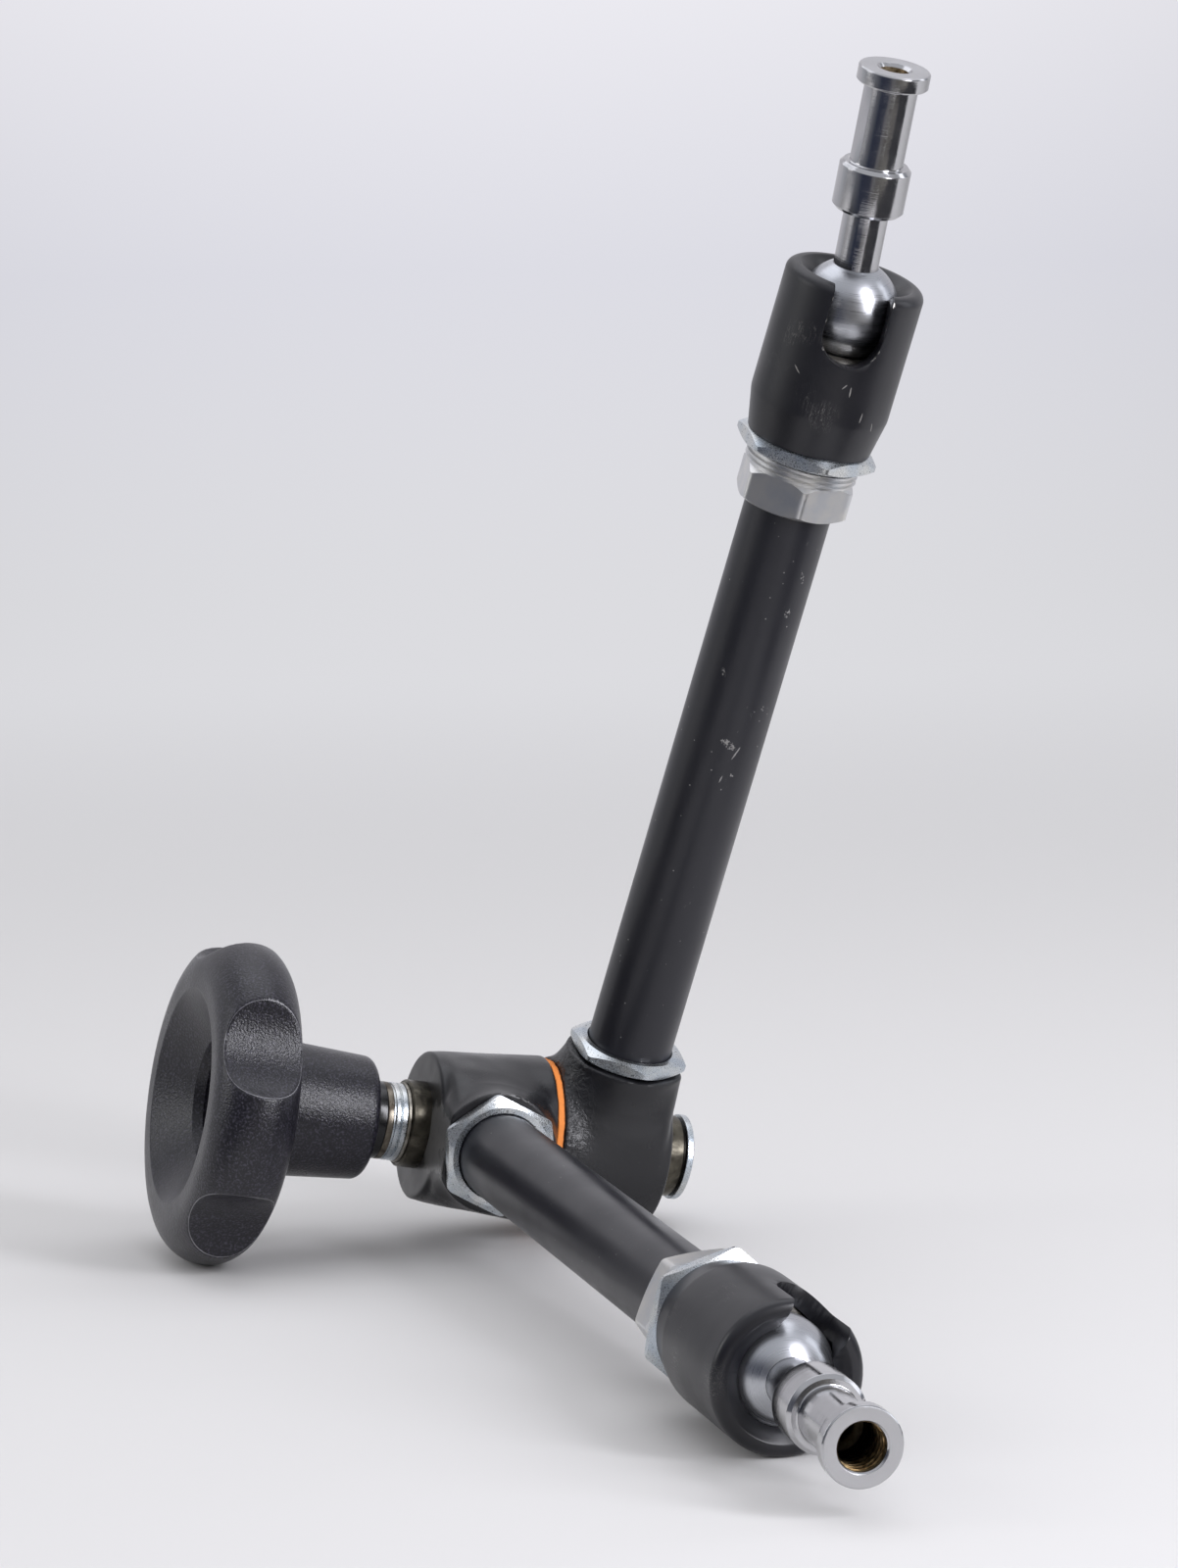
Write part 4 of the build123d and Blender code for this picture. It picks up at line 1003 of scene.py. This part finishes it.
# Painted light: further back the sheet glows for camera and mirror rays, brighter towards the top and darker
# towards the sides.
back = add(tree, "MapRange", {"From Min": 0.35, "From Max": 1.5, "interpolation_type": "SMOOTHSTEP"}, {
    "Value": part.outputs["Y"]})
glow = add(tree, "Math", {"operation": "MULTIPLY"}, {0: seen.outputs[0], 1: back.outputs[0]})
rise = add(tree, "MapRange", {"From Min": 0.0, "From Max": 0.42}, {"Value": part.outputs["Z"]})
shade = add(tree, "ValToRGB", None, {"Fac": rise.outputs[0]})
shade.color_ramp.elements[0].color = colour("DCDCE0")
shade.color_ramp.elements[1].color = colour("EDECF2")
middle = shade.color_ramp.elements.new(0.45)
middle.color = colour("DDDDE5")
aside = add(tree, "Math", {"operation": "MULTIPLY"}, {0: part.outputs["X"], 1: part.outputs["X"]})
painted_side_falloff = add(tree, "Math", {"operation": "MULTIPLY_ADD", 1: -0.32, 2: 1.0}, {0: aside.outputs[0]})
painted_side_falloff = add(tree, "Math", {"operation": "MAXIMUM", 1: 0.8}, {0: painted_side_falloff.outputs[0]})
painted_backdrop_glow = add(tree, "Emission", None, {"Color": shade.outputs["Color"], "Strength": painted_side_falloff.outputs[0]})
both = add(tree, "MixShader", None, {
    0: glow.outputs[0], 1: shader.outputs[0], 2: painted_backdrop_glow.outputs[0]})
tree.links.new(both.outputs[0], tree.nodes["Material Output"].inputs["Surface"])
sheet.data.materials.append(paper)
front_corners = [(-4.5, -3.0, 0.0), (4.5, -3.0, 0.0), (4.5, -0.24, 0.0), (-4.5, -0.24, 0.0)]
front_floor = new_piece("floor in front", Matrix.Scale(1, 4), front_corners, [(0, 1, 2, 3)])
front_floor.data.materials.append(paper)
front_floor.visible_glossy = False

# Flags: black cards that lie on the sheet on both sides. They only show in
# mirrors, where they give the chrome its dark bands, and aren't the object's.
felt, tree, shader = start_material("black flag card", "1A1A1E", 0.0, 0.9)
for name, near, far in (("flag left", -0.15, -0.6), ("flag right", 0.17, 0.6)):
    corners = [(near, -0.24, 0.001), (far, -0.24, 0.001), (far, 0.04, 0.001), (near, 0.04, 0.001)]
    card = new_piece(name, Matrix.Scale(1, 4), corners, [(0, 1, 2, 3)])
    card.data.materials.append(felt)
    card.visible_camera = card.visible_diffuse = card.visible_shadow = False

# Studio round the object: pale above and behind, dark where the photographer
# stood, with a few upright streaks that show in the chrome.
world = bpy.data.worlds.new("soft studio air")
bpy.context.scene.world = world
world.use_nodes = True
tree = world.node_tree
heading = add(tree, "TexCoord").outputs["Generated"]
part = add(tree, "SeparateXYZ", None, {0: heading})
toward = add(tree, "Math", {"operation": "MULTIPLY", 1: -1.0}, {0: part.outputs["Y"]})
bearing = add(tree, "Math", {"operation": "ARCTAN2"}, {0: part.outputs["X"], 1: toward.outputs[0]})
turn = add(tree, "MapRange", {"From Min": -math.pi, "From Max": math.pi}, {"Value": bearing.outputs[0]})
streaks = add(tree, "ValToRGB", None, {"Fac": turn.outputs[0]})
ramp = streaks.color_ramp
stops = (
    (-180, "CDD0D6"), (-115, "D0D2D8"), (-88, "9A9CA2"), (-66, "83858C"), (-44, "3C4254"), (-16, "474A58"),
    (-8, "858487"), (8, "6F6D6B"), (30, "93908C"), (40, "B4B0AB"), (50, "5A5651"), (84, "4C4A48"),
    (97, "B0B0B2"), (108, "8E939C"), (180, "CDD0D6"))
ramp.elements[0].position, ramp.elements[0].color = 0.0, colour(stops[0][1])
ramp.elements[1].position, ramp.elements[1].color = 1.0, colour(stops[-1][1])
for degrees, code in stops[1:-1]:
    stop = ramp.elements.new((degrees + 180) / 360)
    stop.color = colour(code)
upward = add(tree, "MapRange", {
    "From Min": 0.25, "From Max": 0.75, "interpolation_type": "SMOOTHSTEP"}, {"Value": part.outputs["Z"]})
sky = add(tree, "Mix", {"data_type": "RGBA", 7: colour("DADCE2")}, {
    0: upward.outputs[0], 6: streaks.outputs["Color"]})
path = add(tree, "LightPath")
seen = add(tree, "Math", {"operation": "MAXIMUM"}, {
    0: path.outputs["Is Transmission Ray"], 1: path.outputs["Is Glossy Ray"]})
air = add(tree, "Mix", {"data_type": "RGBA", 6: colour("E2E2E6")}, {0: seen.outputs[0], 7: sky.outputs[2]})
tree.links.new(air.outputs[2], tree.nodes["Background"].inputs["Color"])
tree.nodes["Background"].inputs["Strength"].default_value = 0.9


# Lamps: four soft boxes. The tall key at the right front gives the balls and
# the knob their highlights; the others lift the shadows.


def soft_box(name, position, target, width, height, power, tint):
    """Rectangular lamp that faces a point."""
    lamp = bpy.data.lights.new(name, "AREA")
    lamp.shape = "RECTANGLE"
    lamp.size, lamp.size_y, lamp.energy = width, height, power
    lamp.color = colour(tint)[:3]
    holder = bpy.data.objects.new(name, lamp)
    holder.location = position
    holder.rotation_euler = (Vector(target) - Vector(position)).to_track_quat("-Z", "Y").to_euler()
    bpy.context.scene.collection.objects.link(holder)
    return holder


soft_box("soft box key", (0.8, -0.6, 0.5), (0, 0, 0.12), 0.25, 0.8, 9.0, "F8F8FF")
soft_box("soft box left", (-1.2, -0.1, 0.6), (0, 0, 0.12), 0.5, 0.7, 2.5, "FFFFFF")
soft_box("soft box over", (0.0, 0.35, 1.4), (0, 0, 0.1), 1.4, 1.1, 5.0, "F8F9FF")
soft_box("soft box right", (1.3, 0.3, 0.6), (0, 0, 0.12), 0.3, 0.9, 1.6, "F6F8FF")

# Camera: long lens from in front and a little above, slightly rolled, where
# the photograph was taken from.
fit_axis = Vector((0.93131, 0.30369, -0.20108))
elevation, roll = math.radians(6.83), math.radians(-1.16)
focal, across, down, depth = 5063.04, 549.36, 1162.82, 1.16981
right = Vector((1, 0, 0))
up = Vector((0, math.sin(elevation), math.cos(elevation)))
ahead = Vector((0, math.cos(elevation), -math.sin(elevation)))
cam_right = right * math.cos(roll) + up * math.sin(roll)
cam_up = up * math.cos(roll) - right * math.sin(roll)
seen_point = elbow_point + fit_axis * 0.0012
offset = cam_right * ((across - 601) / focal) - cam_up * ((down - 800) / focal) + ahead
camera = bpy.data.cameras.new("camera")
camera.lens = focal / 1600 * 36.0
camera.sensor_width = 36.0
camera.clip_start, camera.clip_end = 0.05, 20.0
eye = bpy.data.objects.new("camera", camera)
turn = Matrix((cam_right, cam_up, -ahead)).transposed().to_4x4()
eye.matrix_world = Matrix.Translation(seen_point - offset * depth) @ turn
bpy.context.scene.collection.objects.link(eye)
bpy.context.scene.camera = eye
bpy.context.scene.view_settings.view_transform = "Standard"
